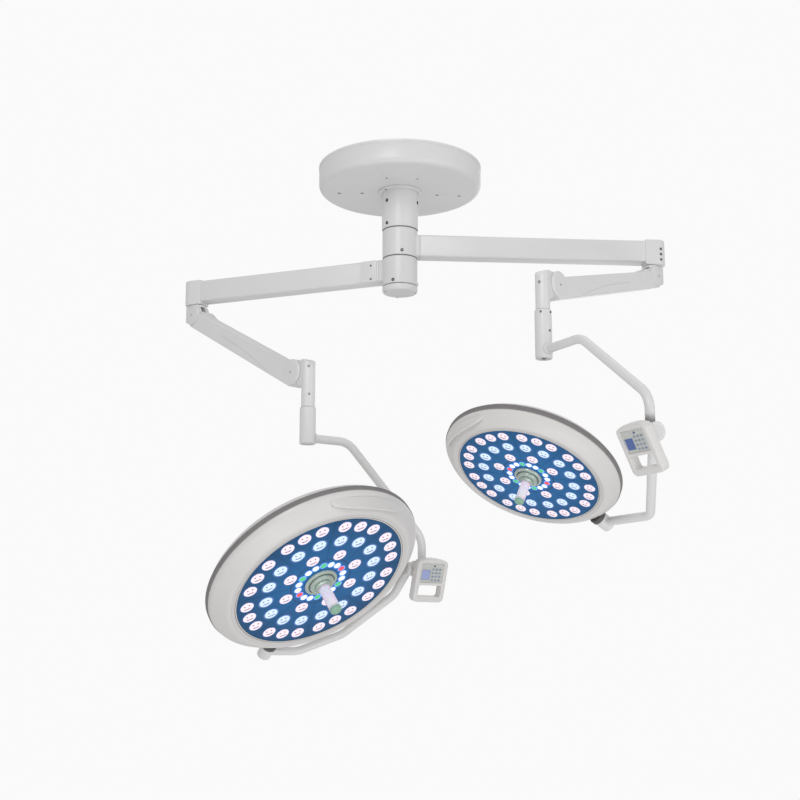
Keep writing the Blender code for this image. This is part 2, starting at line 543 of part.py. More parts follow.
def make_head(name, lamp, frame, look):
    """Head shells, gasket, light plate and handle. The light shines along -Z."""
    rim = lamp["head"]
    skin = SHEET
    height = 0.26 * rim
    dome = [(0, height), (0.35 * rim, 0.97 * height), (0.62 * rim, 0.84 * height)]
    dome += [(0.85 * rim, 0.58 * height), (rim - 0.005, 0.0103)]
    inner = [(radius - skin, level - skin * 0.6) for radius, level in dome[1:-1]]
    inner = [(0, height - skin), *inner, (rim - 0.005 - skin, 0.0103)]
    place(f"{name}_rear_shell", turned([*dome, *reversed(inner)], HEAD_ROUND), frame, look["shell"])

    band = [(rim - 0.014, -0.0055), (rim, -0.0055), (rim, 0.010), (rim - 0.014, 0.010)]
    place(f"{name}_rim_gasket", turned(band, HEAD_ROUND, True), frame, look["gasket"])

    plate_z = -0.150 * rim
    lip = -0.162 * rim
    outer = [(rim - 0.002, -0.0058), (rim - 0.005, -0.016), (0.950 * rim, -0.090 * rim)]
    outer += [(0.880 * rim, lip + 0.004), (0.845 * rim, lip), (0.803 * rim, plate_z - 0.001)]
    back = [(0.803 * rim, plate_z + 0.002), (0.843 * rim, lip + skin)]
    back += [(0.877 * rim, lip + 0.004 + skin), (0.950 * rim - skin, -0.090 * rim + 0.001)]
    back += [(rim - 0.005 - skin, -0.016), (rim - 0.002 - skin, -0.0058)]
    bezel = turned([*outer, *back], HEAD_ROUND, True)
    bezel = place(f"{name}_bezel", bezel, frame, look["shell"])
    ridge = [
        (0.900 * rim, -0.115 * rim), (0.962 * rim, -0.060 * rim), (0.962 * rim, -0.125 * rim),
        (0.930 * rim, -0.180 * rim), (0.895 * rim, -0.180 * rim), (0.880 * rim, -0.150 * rim),
    ]  # fmt: skip
    join(bezel, turned(ridge, 4, True, (270 - 15, 270 + 15)))

    hole = 0.110 * rim
    plate = [
        (hole, plate_z), (0.800 * rim, plate_z), (0.800 * rim, plate_z + 0.004),
        (hole, plate_z + 0.004),
    ]  # fmt: skip
    place(f"{name}_light_plate", turned(plate, HEAD_ROUND, True), frame, look["plate"])
    board = [
        (hole, plate_z + 0.0045), (0.780 * rim, plate_z + 0.0045),
        (0.780 * rim, plate_z + 0.0105), (hole, plate_z + 0.0105),
    ]  # fmt: skip
    place(f"{name}_led_board", turned(board, HEAD_ROUND, True), frame, look["steel"])

    nose = plate_z - 0.024
    socket = [
        (0, plate_z + 0.020), (hole - GAP, plate_z + 0.020), (hole - GAP, plate_z - GAP),
        (0.150 * rim, plate_z - GAP), (0.145 * rim, plate_z - 0.008), (0.110 * rim, plate_z - 0.010),
        (0.105 * rim, plate_z - 0.016), (0.060 * rim, plate_z - 0.018), (0.055 * rim, nose),
        (0, nose),
    ]  # fmt: skip
    place(f"{name}_handle_socket", turned(socket, ROUND), frame, look["socket"])
    grip, far = 0.0515 * rim, nose - lamp["handle"]
    handle = [
        (0, nose - GAP), (grip - 0.001, nose - GAP), (grip, nose - 0.002), (grip, far + 0.002),
        (grip - 0.001, far), (0, far),
    ]  # fmt: skip
    place(f"{name}_sterile_handle", turned(handle, SMALL_ROUND), frame, look["handle"])

    mount = cylinder(0.024, rim - 0.006, rim + 0.0140, "Y", sides=ROUND)
    mount = place(f"{name}_rim_mount", mount, frame, look["dark"])
    cut(mount, cylinder(rim + 0.0004, -0.05, 0.05, sides=2 * HEAD_ROUND))
    cut(mount, cylinder(JOINT_BORE, rim - 0.01, rim + 0.02, "Y"))


def make_lamp(name, lamp, root, look):
    """One whole lamp, from its hub on the column to its handle."""
    arm = empty(f"{name}_column_axis", root, (0, 0, lamp["beam"]), (0, 0, lamp["arm_turn"]))
    make_extension_arm(name, lamp, arm, look)
    turn = lamp["spring_turn"] - lamp["arm_turn"]
    place_at = (lamp["reach"], 0, -PIVOT_DROP)
    swivel = empty(f"{name}_swivel_axis", arm, place_at, (0, 0, turn))
    make_rear_knuckle(name, swivel, look)
    angle = lamp["spring_pitch"]
    pitch = empty(f"{name}_pitch_axis", swivel, (0, 0, 0), (0, angle, 0))
    make_spring_arm(name, pitch, look)
    rod = empty(f"{name}_rod_axis", swivel, (0, 0, -ROD_DROP), (0, angle, 0))
    make_tie_rod(name, rod, look)
    ahead = (ARM_LENGTH * cos(radians(angle)), 0, -ARM_LENGTH * sin(radians(angle)))
    front = empty(f"{name}_front_axis", swivel, ahead)
    make_front_knuckle(name, lamp, front, look)
    sleeve = empty(f"{name}_yaw_axis", front, (KNUCKLE_REACH, 0, 0))
    turn = lamp["bow_turn"] - lamp["spring_turn"]
    bow = empty(f"{name}_bow_axis", sleeve, (0, 0, -lamp["drop"]), (0, 0, turn))
    make_upper_bow(name, lamp, sleeve, bow, look)
    lower = empty(f"{name}_tilt_axis", bow, (lamp["centre"], 0, 0), (-lamp["tilt"], 0, 0))
    make_lower_bow(name, lamp, lower, look)
    head = empty(f"{name}_head_axis", lower, head_offset(lamp), (0, -lamp["roll"], 0))
    make_head(name, lamp, head, look)


clear_scene()
looks = make_materials()
origin = empty("ceiling_frame")
make_ceiling(origin, looks)
for lamp_name, settings in LAMPS.items():
    make_lamp(lamp_name, settings, origin, looks)
bpy.context.view_layer.update()
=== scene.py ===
import json
from math import asin, cos, degrees, pi, radians, sin

import bmesh
import bpy
from mathutils import Matrix, Vector


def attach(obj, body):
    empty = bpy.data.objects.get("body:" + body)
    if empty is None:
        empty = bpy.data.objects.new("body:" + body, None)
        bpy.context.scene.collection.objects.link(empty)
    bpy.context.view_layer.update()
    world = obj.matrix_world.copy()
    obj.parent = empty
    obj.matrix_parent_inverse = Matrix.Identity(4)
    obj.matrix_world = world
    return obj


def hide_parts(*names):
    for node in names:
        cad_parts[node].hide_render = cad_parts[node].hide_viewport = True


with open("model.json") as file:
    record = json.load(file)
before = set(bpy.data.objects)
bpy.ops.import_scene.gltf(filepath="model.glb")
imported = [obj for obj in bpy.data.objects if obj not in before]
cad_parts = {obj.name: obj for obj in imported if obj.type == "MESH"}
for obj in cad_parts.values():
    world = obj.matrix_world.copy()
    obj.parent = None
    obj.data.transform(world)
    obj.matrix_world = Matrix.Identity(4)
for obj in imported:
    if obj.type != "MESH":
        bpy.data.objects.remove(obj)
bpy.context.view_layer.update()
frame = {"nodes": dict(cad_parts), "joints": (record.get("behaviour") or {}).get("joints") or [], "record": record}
JOINTS = {joint["name"]: joint for joint in frame["joints"]}

GAP = 0.0003
WIDE, MEDIUM, FINE = 160, 72, 32  # sides of large, middling and small round pieces
BEND_STEPS = 14

# Dimensions in metres and angles in degrees, the same as the solids'
CANOPY_RADIUS, CANOPY_TOP, CANOPY_BOTTOM = 0.265, -0.004, -0.080
CANOPY_EDGE, CANOPY_SEAM, SHEET = 0.018, 5.4, 0.003
TUBE_RADIUS, TUBE_BOTTOM = 0.059, -0.214
COLLAR_RADIUS, COLLAR_HEIGHT = 0.0705, 0.009
HUB_RADIUS, CAP_TOP, CAP_BOTTOM = 0.057, -0.406, -0.425
BEAM_WIDTH, BEAM_HEIGHT, BEAM_CORNER, BEAM_START = 0.058, 0.072, 0.006, 0.0633
HOUSING_RADIUS, HOUSING_ABOVE, HOUSING_BELOW, PIVOT_DROP = 0.0295, 0.040, 0.044, 0.0815
HOUSING_BACK, HOUSING_NOSE = 0.024, 0.017  # from the bearing's axis along the beam
ARM_LENGTH, COVER_HALF, COVER_SKIN, COVER_NOSE = 0.615, 0.026, 0.003, 0.040
COVER_TOP_REAR, COVER_TOP_FRONT = 0.018, 0.021
COVER_BOTTOM_REAR, COVER_BOTTOM_FRONT = -0.038, -0.044
CHEEK_RADIUS, SEAT_RADIUS, NOSE_SEAT = 0.036, 0.0375, 0.0415
KNUCKLE_RADIUS, KNUCKLE_TOP, KNUCKLE_REACH = 0.0212, 0.032, 0.056
SLEEVE_RADIUS, SLEEVE_BOTTOM, BOW_RADIUS = 0.0247, -0.230, 0.013
PIVOT_RADIUS, PIVOT_OUT, PIVOT_IN = 0.025, 0.030, 0.035
STUB_RADIUS, STUB_LENGTH = 0.0215, 0.028
PANEL_WIDTH, PANEL_TOP, PANEL_BOTTOM = 0.115, 0.040, -0.092
PANEL_BACK, PANEL_FRONT, BRACKET_BACK = -0.0320, -0.0590, -0.0258
KEYPAD_WIDTH, KEYPAD_TOP, KEYPAD_BOTTOM = 0.086, 0.031, -0.030
GRIP_WIDTH, GRIP_TOP, GRIP_BOTTOM = 0.086, -0.0385, -0.0745
PLATE_LEVEL, SOCKET_HOLE = -0.150, 0.110  # parts of the head's radius

LAMPS = {
    "small": dict(
        head=0.2585, hub=(0.054, -0.040), reach=0.830, upright=-0.086, bow_level=-0.2045,
        drop=0.5092, bow_corner=0.172, bow_reach=0.4452, bow_fall=0.0957, centre=-0.0496,
        sag=0.0251, panel_tilt=27.5, handle=0.070, leds=10.9, grip=-100.0, first=-120.0,
        lower_path=((1, 0.2), (0.45, 1)), display="display", marks=-37.0,
        hub_screw=(-88.1, -0.0261),
    ),
    "large": dict(
        head=0.336, hub=(0.038, -0.054), reach=0.742, upright=-0.116, bow_level=-0.2105,
        drop=0.5897, bow_corner=0.1447, bow_reach=0.4226, bow_fall=0.0983, centre=0.0197,
        sag=0.0194, panel_tilt=16.0, handle=0.092, leds=6.7, grip=-84.0, first=-48.0,
        lower_path=((1, 0.31), (0.69, 0.79), (0.324, 1)), display="display_pale", marks=-119.0,
        hub_screw=(87.8, -0.0434),
    ),
}  # fmt: skip


# ---------------------------------------------------------------- materials


def colour(red, green, blue):
    """An sRGB colour, 0 to 255, as linear values."""
    values = []
    for level in (red, green, blue):
        level /= 255
        values.append(level / 12.92 if level <= 0.04045 else ((level + 0.055) / 1.055) ** 2.4)
    return (*values, 1.0)


def node(tree, kind, inputs=None, **settings):
    """A shader node, with each input linked to an output or set to a value."""
    made = tree.nodes.new(f"ShaderNode{kind}")
    for key, value in settings.items():
        setattr(made, key, value)
    for socket, value in (inputs or {}).items():
        if isinstance(value, bpy.types.NodeSocket):
            tree.links.new(value, made.inputs[socket])
        else:
            made.inputs[socket].default_value = value
    return made


def remapped(tree, value, source, target):
    """Takes the source range of a value to the target range."""
    inputs = {"Value": value, "From Min": source[0], "From Max": source[1],
              "To Min": target[0], "To Max": target[1]}
    return node(tree, "MapRange", inputs).outputs["Result"]


def surface(name, rgb, rough, grain=700.0, bump=0.05, mottle=0.03, spread=0.06, painted_edge_shading=0.0,
            lines=None, sockets=None, painted_rim_shade=0.0):
    """A Principled material with uneven colour and roughness and a fine grain in its normal; it can also paint
    shading onto creases and edges, and paint shade towards a rim.
    """
    material = bpy.data.materials.new(name)
    material.use_nodes = True
    tree = material.node_tree
    shader = tree.nodes["Principled BSDF"]
    for socket, value in (sockets or {}).items():
        shader.inputs[socket].default_value = value

    def scaled(shade, factor):
        return node(tree, "VectorMath", {0: shade, "Scale": factor}, operation="SCALE").outputs["Vector"]

    place = node(tree, "TexCoord").outputs["Object"]
    broad = node(tree, "TexNoise", {"Vector": place, "Scale": 9.0, "Detail": 5.0})
    fine = node(tree, "TexNoise", {"Vector": place, "Scale": grain, "Detail": 3.0}).outputs["Fac"]
    ramp = node(tree, "ValToRGB", {"Fac": broad.outputs["Fac"]})
    base = colour(*rgb)[:3]
    for end, position, factor in ((0, 0.3, 1 - mottle), (1, 0.7, 1 + mottle)):
        ramp.color_ramp.elements[end].position = position
        ramp.color_ramp.elements[end].color = (*[min(1.0, level * factor) for level in base], 1.0)
    shade = ramp.outputs["Color"]
    # Painted shading: the colour is darker in creases and lighter on sharp edges, by the surface's pointiness
    if painted_edge_shading:
        sharpness = node(tree, "NewGeometry").outputs["Pointiness"]
        shade = scaled(shade, remapped(tree, sharpness, (0.44, 0.56), (1.0 - painted_edge_shading, 1.0 + painted_edge_shading)))
    # Painted shade: the colour darkens from the centre out towards the rim, for the shade of the recess the plate
    # sits in
    if painted_rim_shade:
        across = node(tree, "VectorMath", {0: place}, operation="LENGTH").outputs["Value"]
        shade = scaled(shade, remapped(tree, across, (0.06, 0.26), (1.0 + painted_rim_shade, 1.0 - painted_rim_shade)))
    tree.links.new(shade, shader.inputs["Base Color"])
    gloss = remapped(tree, fine, (0.0, 1.0), (max(0.02, rough - spread), rough + spread))
    tree.links.new(gloss, shader.inputs["Roughness"])

    height = fine
    if lines:
        axis, scale, kind = lines
        wave = node(tree, "TexWave", {"Vector": place, "Scale": scale, "Distortion": 0.4}, wave_type=kind)
        if kind == "BANDS":
            wave.bands_direction = axis
        else:
            wave.rings_direction = axis
        height = node(tree, "Math", {0: wave.outputs["Fac"], 1: fine}, operation="ADD").outputs["Value"]
    dents = node(tree, "Bump", {"Height": height, "Strength": bump, "Distance": 0.0004})
    tree.links.new(dents.outputs["Normal"], shader.inputs["Normal"])
    return material


def glowing(rgb, strength):
    return {"Emission Color": colour(*rgb), "Emission Strength": strength}


LOOKS = {
    # The last number of paint and shell is painted shading: darker in creases, lighter on sharp edges
    "paint": surface("painted_metal", (226, 226, 225), 0.36, 420.0, 0.015, 0.012, 0.05, 0.04,
                     sockets={"Coat Weight": 0.25, "Coat Roughness": 0.25}),
    "shell": surface("moulded_shell", (219, 217, 214), 0.34, 1100.0, 0.05, 0.010, 0.05, 0.03,
                     sockets={"Coat Weight": 0.15, "Coat Roughness": 0.3}),
    # A darker copy of the shell colour: painted shade for the bezel's inner slope and the cover's crease lines
    "bevel": surface("moulded_shell_inside", (212, 210, 208), 0.40, 1100.0, 0.05, 0.012),
    "gasket": surface("rim_rubber", (136, 133, 133), 0.62, 1500.0, 0.25, 0.05, 0.08,
                      lines=("Z", 150.0, "BANDS")),
    "dark": surface("dark_plastic", (90, 90, 90), 0.48, 1300.0, 0.15, 0.05),
    "black": surface("black_screw", (26, 26, 27), 0.42, 2200.0, 0.15, 0.08, 0.10,
                     sockets={"Metallic": 0.6}),
    "screw": surface("zinc_screw", (158, 156, 152), 0.34, 1800.0, 0.15, 0.05, 0.08,
                     sockets={"Metallic": 0.9}),
    "steel": surface("brushed_steel", (186, 185, 183), 0.32, 1600.0, 0.20, 0.05, 0.10,
                     lines=("X", 260.0, "BANDS"), sockets={"Metallic": 1.0}),
    # The plate is painted darker towards its rim, a painted shade of its recess
    "plate": surface("light_plate_blue", (24, 98, 154), 0.26, 1400.0, 0.05, 0.07, 0.05, painted_rim_shade=0.34,
                     sockets={"Specular IOR Level": 0.25}),
    "line": surface("light_plate_line", (28, 56, 112), 0.30, 1400.0, 0.05, 0.05),
    "cream": surface("plate_edge_ring", (214, 208, 198), 0.35, 1200.0, 0.05, 0.03),
    "seat": surface("lens_seat", (66, 118, 190), 0.28, 1500.0, 0.05, 0.05,
                    sockets={"Coat Weight": 0.3}),
    "warm": surface("lens_warm", (238, 224, 232), 0.16, 900.0, 0.05, 0.02, 0.04,
                    sockets=glowing((255, 236, 242), 0.36)),
    "cool": surface("lens_cool", (206, 226, 250), 0.16, 900.0, 0.05, 0.02, 0.04,
                    sockets=glowing((206, 230, 255), 0.40)),
    "chip": surface("lens_chip", (128, 98, 146), 0.40, 2500.0, 0.10, 0.06),
    "tab": surface("lens_tab", (150, 132, 170), 0.40, 2000.0, 0.05, 0.05),
    "white_led": surface("centre_white", (240, 242, 255), 0.20, 1500.0, 0.05, 0.02, 0.04,
                         sockets=glowing((225, 232, 255), 0.9)),
    "red_led": surface("centre_red", (226, 78, 84), 0.22, 1500.0, 0.05, 0.04, 0.04,
                       sockets=glowing((235, 60, 70), 0.5)),
    "green_led": surface("centre_green", (88, 196, 128), 0.22, 1500.0, 0.05, 0.04, 0.04,
                         sockets=glowing((60, 200, 110), 0.4)),
    "glow": surface("centre_glow", (128, 168, 228), 0.25, 1500.0, 0.05, 0.06, 0.04,
                    sockets=glowing((90, 130, 250), 0.7)),
    "socket": surface("socket_metal", (186, 202, 190), 0.28, 1500.0, 0.15, 0.05, 0.08,
                      lines=("Z", 90.0, "RINGS"), sockets={"Metallic": 0.6}),
    # A lighter copy of the socket metal, for painted highlight lines
    "bright": surface("socket_bright_ring", (222, 226, 226), 0.18, 1500.0, 0.05, 0.03, 0.05,
                      sockets={"Metallic": 0.9}),
    # The handle is no lamp: its faint emission is a painted glow
    "handle": surface("handle_translucent", (244, 238, 246), 0.26, 1000.0, 0.08, 0.02, 0.06,
                      sockets={"Subsurface Weight": 0.6, "Subsurface Scale": 0.01,
                               "Coat Weight": 0.3, **glowing((240, 226, 246), 0.10)}),
    "pink": surface("handle_ring", (228, 160, 180), 0.34, 1400.0, 0.05, 0.04),
    "green": surface("handle_cap", (146, 186, 162), 0.38, 1200.0, 0.08, 0.03),
    "keypad": surface("keypad_film", (196, 198, 192), 0.46, 1500.0, 0.12, 0.02),
    "display": surface("keypad_display", (76, 97, 152), 0.18, 900.0, 0.03, 0.06, 0.04,
                       sockets=glowing((76, 97, 160), 0.15)),
    "display_pale": surface("keypad_display_pale", (150, 160, 200), 0.18, 900.0, 0.03, 0.06, 0.04,
                            sockets=glowing((150, 160, 205), 0.12)),
    "key": surface("keypad_key", (158, 168, 178), 0.42, 1500.0, 0.10, 0.03),
    "mark": surface("keypad_mark", (52, 62, 118), 0.42, 1500.0, 0.05, 0.04),
    "pale": surface("keypad_pale_mark", (206, 210, 206), 0.42, 1500.0, 0.05, 0.03),
    "board": surface("board_aluminium", (184, 184, 182), 0.40, 1500.0, 0.15, 0.06, 0.08,
                     lines=("X", 180.0, "BANDS"), sockets={"Metallic": 1.0}),
}  # fmt: skip


# ---------------------------------------------------------------- mesh tools


def finished(obj):
    obj.data.shade_smooth()
    obj.data.set_sharp_from_angle(angle=radians(32))
    return obj


def placed(name, data):
    obj = bpy.data.objects.new(name, data)
    bpy.context.scene.collection.objects.link(obj)
    return obj


def piece(name, shape, matrix, look, body=None, replaces=()):
    """Makes an object from a bmesh in a local frame, and has it ride on a body."""
    bmesh.ops.remove_doubles(shape, verts=shape.verts[:], dist=1e-6)
    bmesh.ops.recalc_face_normals(shape, faces=shape.faces[:])
    mesh = bpy.data.meshes.new(name)
    shape.to_mesh(mesh)
    shape.free()
    obj = placed(name, mesh)
    obj.matrix_world = matrix
    mesh.materials.append(LOOKS[look])
    finished(obj)
    if body:
        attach(obj, body)
    if replaces:
        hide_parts(*replaces)
    return obj


def applied(obj):
    """Turns the object's modifiers into its mesh."""
    bpy.context.view_layer.update()
    graph = bpy.context.evaluated_depsgraph_get()
    made = bpy.data.meshes.new_from_object(obj.evaluated_get(graph))
    obj.modifiers.clear()
    old = obj.data
    made.name = old.name
    obj.data = made
    bpy.data.meshes.remove(old)
    return finished(obj)


def combine(obj, shape, operation="DIFFERENCE"):
    tool = piece(f"{obj.name}_tool", shape, obj.matrix_world.copy(), "paint")
    boolean = obj.modifiers.new("boolean", "BOOLEAN")
    boolean.operation = operation
    boolean.solver = "EXACT"
    boolean.object = tool
    applied(obj)
    mesh = tool.data
    bpy.data.objects.remove(tool)
    bpy.data.meshes.remove(mesh)
    return obj


def softened(obj, width, segments=3, angle=40.0):
    """Rounds the sharp edges."""
    bevel = obj.modifiers.new("bevel", "BEVEL")
    bevel.width = width
    bevel.segments = segments
    bevel.limit_method = "ANGLE"
    bevel.angle_limit = radians(angle)
    bevel.use_clamp_overlap = True
    return applied(obj)


def rounded(points, closed=False, steps=4):
    """Rounds each corner (x, y, radius) of an outline that gives a radius."""
    result = []
    count = len(points)
    for index, point in enumerate(points):
        corner = Vector(point[:2])
        if len(point) < 3 or (not closed and index in (0, count - 1)):
            result.append(tuple(corner))
            continue
        before = Vector(points[index - 1][:2])
        after = Vector(points[(index + 1) % count][:2])
        back, ahead = (before - corner).normalized(), (after - corner).normalized()
        half = back.angle(ahead) / 2
        run = min(
            point[2] / max(1e-6, sin(half) / cos(half)), (before - corner).length * 0.49,
            (after - corner).length * 0.49)
        radius = run * sin(half) / cos(half)
        centre = corner + (back + ahead).normalized() * radius / sin(half)
        first, last = corner + back * run - centre, corner + ahead * run - centre
        for step in range(steps + 1):
            turn = first.slerp(last, step / steps) if radius > 1e-7 else first
            result.append(tuple(centre + turn.normalized() * radius))
    return result


def flowing(points, steps=6):
    """A smooth curve through the points."""
    ends = [points[0], *points, points[-1]]
    result = []
    for p0, p1, p2, p3 in zip(ends, ends[1:], ends[2:], ends[3:]):
        p0, p1, p2, p3 = (Vector(p) for p in (p0, p1, p2, p3))
        square, cube = 2 * p0 - 5 * p1 + 4 * p2 - p3, 3 * p1 - p0 - 3 * p2 + p3
        for step in range(steps):
            t = step / steps
            result.append(tuple(0.5 * (2 * p1 + (p2 - p0) * t + square * t * t + cube * t ** 3)))
    return [*result, tuple(points[-1])]


def turned(profile, sides=MEDIUM, closed=False, sweep=(0.0, 360.0), hexed=()):
    """Turns a profile of (radius, z) about Z. The points numbered in hexed make a hexagon."""
    shape = bmesh.new()
    start, end = (radians(angle) for angle in sweep)
    whole = abs(end - start - 2 * pi) < 1e-9
    steps = sides if whole else sides + 1
    rings = []
    for index, (radius, height) in enumerate(profile):
        if radius < 1e-9:
            rings.append([shape.verts.new((0, 0, height))] * steps)
            continue
        ring = []
        for step in range(steps):
            angle = start + (end - start) * step / sides
            across = radius
            if index in hexed:
                across /= cos((angle % (pi / 3)) - pi / 6)
            ring.append(shape.verts.new((across * cos(angle), across * sin(angle), height)))
        rings.append(ring)
    pairs = list(zip(rings, rings[1:]))
    if closed:
        pairs.append((rings[-1], rings[0]))
    for lower, upper in pairs:
        for step in range(sides):
            after = (step + 1) % steps
            corners = [lower[step], lower[after], upper[after], upper[step]]
            corners = list(dict.fromkeys(corners))
            if len(corners) > 2:
                shape.faces.new(corners)
    if not whole:
        shape.faces.new([ring[0] for ring in rings])
        shape.faces.new([ring[-1] for ring in rings][::-1])
    return shape


AXES = {"X": Matrix.Rotation(pi / 2, 4, "Y"), "Y": Matrix.Rotation(-pi / 2, 4, "X"),
        "Z": Matrix()}


def moved(shape, matrix):
    bmesh.ops.transform(shape, matrix=matrix, verts=shape.verts[:])
    return shape


def along(shape, axis, centre=(0, 0, 0)):
    return moved(shape, Matrix.Translation(centre) @ AXES[axis])


def cylinder(radius, low, high, axis="Z", centre=(0, 0, 0), sides=MEDIUM, edge=0.0):
    profile = [(0, low), (radius, low), (radius, high), (0, high)]
    if edge:
        profile = rounded([(0, low), (radius, low, edge), (radius, high, edge), (0, high)])
    return along(turned(profile, sides), axis, centre)


def block(low, high):
    shape = bmesh.new()
    bmesh.ops.create_cube(shape, size=1.0)
    size = Vector(high) - Vector(low)
    middle = (Vector(high) + Vector(low)) / 2
    return moved(shape, Matrix.Translation(middle) @ Matrix.Diagonal((*size, 1.0)))


def prism(outline, low, high, axis="Y"):
    """Extrudes an outline along an axis. Along Y it is of (x, z), along X (y, z), along Z (x, y)."""
    spots = {"Y": lambda a, b, c: (a, c, b), "X": lambda a, b, c: (c, a, b),
             "Z": lambda a, b, c: (a, b, c)}[axis]
    shape = bmesh.new()
    near = [shape.verts.new(spots(a, b, low)) for a, b in outline]
    far = [shape.verts.new(spots(a, b, high)) for a, b in outline]
    shape.faces.new(near)
    shape.faces.new(far[::-1])
    for index in range(len(outline)):
        after = (index + 1) % len(outline)
        shape.faces.new([near[index], far[index], far[after], near[after]])
    return shape


def rectangle(half_width, low, high, corner, steps=6):
    points = [
        (half_width, low, corner), (half_width, high, corner), (-half_width, high, corner),
        (-half_width, low, corner)]
    return rounded(points, True, steps)


def arc(centre, radius, start, end, steps):
    points = []
    for step in range(steps + 1):
        angle = radians(start + (end - start) * step / steps)
        points.append((centre[0] + radius * cos(angle), centre[1] + radius * sin(angle)))
    return points


def bent_path(corners, bend):
    """A path with each corner bent to the same radius."""
    points = [Vector(corners[0])]
    for before, corner, after in zip(corners, corners[1:], corners[2:]):
        corner = Vector(corner)
        back = (Vector(before) - corner).normalized()
        ahead = (Vector(after) - corner).normalized()
        half = back.angle(ahead) / 2
        centre = corner + (back + ahead).normalized() * bend / sin(half)
        first = corner + back * bend * cos(half) / sin(half) - centre
        last = corner + ahead * bend * cos(half) / sin(half) - centre
        for step in range(BEND_STEPS + 1):
            points.append(centre + bend * first.slerp(last, step / BEND_STEPS))
    points.append(Vector(corners[-1]))
    return points


def swept(points, radius, across, sides=FINE):
    """A round tube along a flat path at right angles to across."""
    shape = bmesh.new()
    across = Vector(across)
    rings = []
    for index, point in enumerate(points):
        before = Vector(points[max(index - 1, 0)])
        after = Vector(points[min(index + 1, len(points) - 1)])
        ahead = (after - before).normalized()
        side = across.cross(ahead).normalized()
        up = ahead.cross(side)
        ring = []
        for step in range(sides):
            angle = 2 * pi * step / sides
            spot = Vector(point) + radius * (cos(angle) * side + sin(angle) * up)
            ring.append(shape.verts.new(spot))
        rings.append(ring)
    for lower, upper in zip(rings, rings[1:]):
        for step in range(sides):
            after = (step + 1) % sides
            shape.faces.new([lower[step], lower[after], upper[after], upper[step]])
    shape.faces.new(rings[0][::-1])
    shape.faces.new(rings[-1])
    return shape


def pointing(spot, normal, turn):
    """A frame at a spot with +Z along the normal, turned about it."""
    way = Vector(normal).normalized()
    return (
        Matrix.Translation(spot) @ way.to_track_quat("Z", "Y").to_matrix().to_4x4()
        @ Matrix.Rotation(radians(turn), 4, "Z"))


def add_copy(shape, part, matrix=Matrix()):
    """Adds a part's faces to a shape, moved by the matrix, and frees the part."""
    moved(part, matrix)
    spots = {vert: shape.verts.new(vert.co) for vert in part.verts}
    for face in part.faces:
        shape.faces.new([spots[vert] for vert in face.verts])
    part.free()
    return shape


def screw_shape(radius):
    """A low round head with a hexagon socket, that stands on z = 0."""
    rise = radius * 0.30
    profile = rounded([
        (0, -rise * 2), (radius, -rise * 2), (radius, rise, rise * 0.6), (radius * 0.52, rise)], steps=3)
    profile += [(radius * 0.46, rise), (radius * 0.44, -rise * 1.2), (0, -rise * 1.2)]
    count = len(profile)
    return turned(profile, 24, hexed=(count - 3, count - 2))


def screws(name, matrix, spots, look, body):
    """Screw heads at (spot, normal, radius) in a local frame."""
    shape = bmesh.new()
    for turn, (spot, normal, radius) in enumerate(spots):
        add_copy(shape, screw_shape(radius), pointing(spot, normal, 17.0 * turn))
    return piece(name, shape, matrix, look, body)


def makers(name, body, place):
    """Functions that make one lamp's pieces and screws on one body, in one local frame."""

    def make(tag, shape, look, *nodes, slot=None):
        replaces = tuple(f"{name}_{node_name}" for node_name in nodes)
        return piece(f"{name}_{tag}", shape, place, look, f"{name}_{body}", replaces)

    def fasten(tag, spots, look):
        return screws(f"{name}_{tag}", place, spots, look, f"{name}_{body}")

    return make, fasten


def ring_spot(radius, azimuth, height):
    return (radius * cos(radians(azimuth)), radius * sin(radians(azimuth)), height)


def wall_screws(radius, places, size):
    """Screws in a round wall, at (azimuth, height)."""
    return [(ring_spot(radius, azimuth, height), upright(azimuth), size) for azimuth, height in places]


def ring_section(inner, outer, low, high):
    return [(inner, low), (outer, low), (outer, high), (inner, high)]


def upright(azimuth):
    return (cos(radians(azimuth)), sin(radians(azimuth)), 0)


# ---------------------------------------------------------------- frames


def joint_at(name):
    return Vector(JOINTS[name]["pos_m"])


def joint_axis(name):
    return Vector(JOINTS[name]["axis"]).normalized()


def axes_at(origin, x=None, y=None, z=None):
    """A frame with its origin and two of its axes."""
    if x is None:
        x = y.cross(z)
    elif y is None:
        y = z.cross(x)
    else:
        z = x.cross(y)
    turn = Matrix((x, y, z)).transposed().to_4x4()
    return Matrix.Translation(origin) @ turn


def frames_of(name, lamp):
    up = Vector((0, 0, 1))
    column, rear = joint_at(f"{name}_column_turn"), joint_at(f"{name}_arm_pitch")
    pitch = joint_axis(f"{name}_arm_pitch")
    front = joint_at(f"{name}_upright_level")
    yaw, tilt = joint_at(f"{name}_bow_turn"), joint_at(f"{name}_bow_tilt")
    tilt_axis, roll_axis = joint_axis(f"{name}_bow_tilt"), joint_axis(f"{name}_head_roll")
    outward = rear - column
    outward.z = 0
    bow = axes_at((yaw.x, yaw.y, tilt.z), x=tilt_axis, z=up)
    panel = Matrix.Translation((lamp["bow_reach"], 0, 0))
    panel @= Matrix.Rotation(radians(lamp["panel_tilt"]), 4, "X")
    return {
        "arm": axes_at(column, x=outward.normalized(), z=up),
        "swivel": axes_at(rear, y=pitch, z=up),
        "spring": axes_at(rear, x=(front - rear).normalized(), y=pitch),
        "front": axes_at(front, y=pitch, z=up),
        "sleeve": axes_at((yaw.x, yaw.y, front.z), y=pitch, z=up),
        "bow": bow,
        "panel": bow @ panel,
        "lower": axes_at(tilt, x=tilt_axis, y=roll_axis),
        "head": axes_at(joint_at(f"{name}_head_roll"), y=roll_axis,
                        z=joint_axis(f"{name}_focus_turn")),
    }


# ---------------------------------------------------------------- ceiling


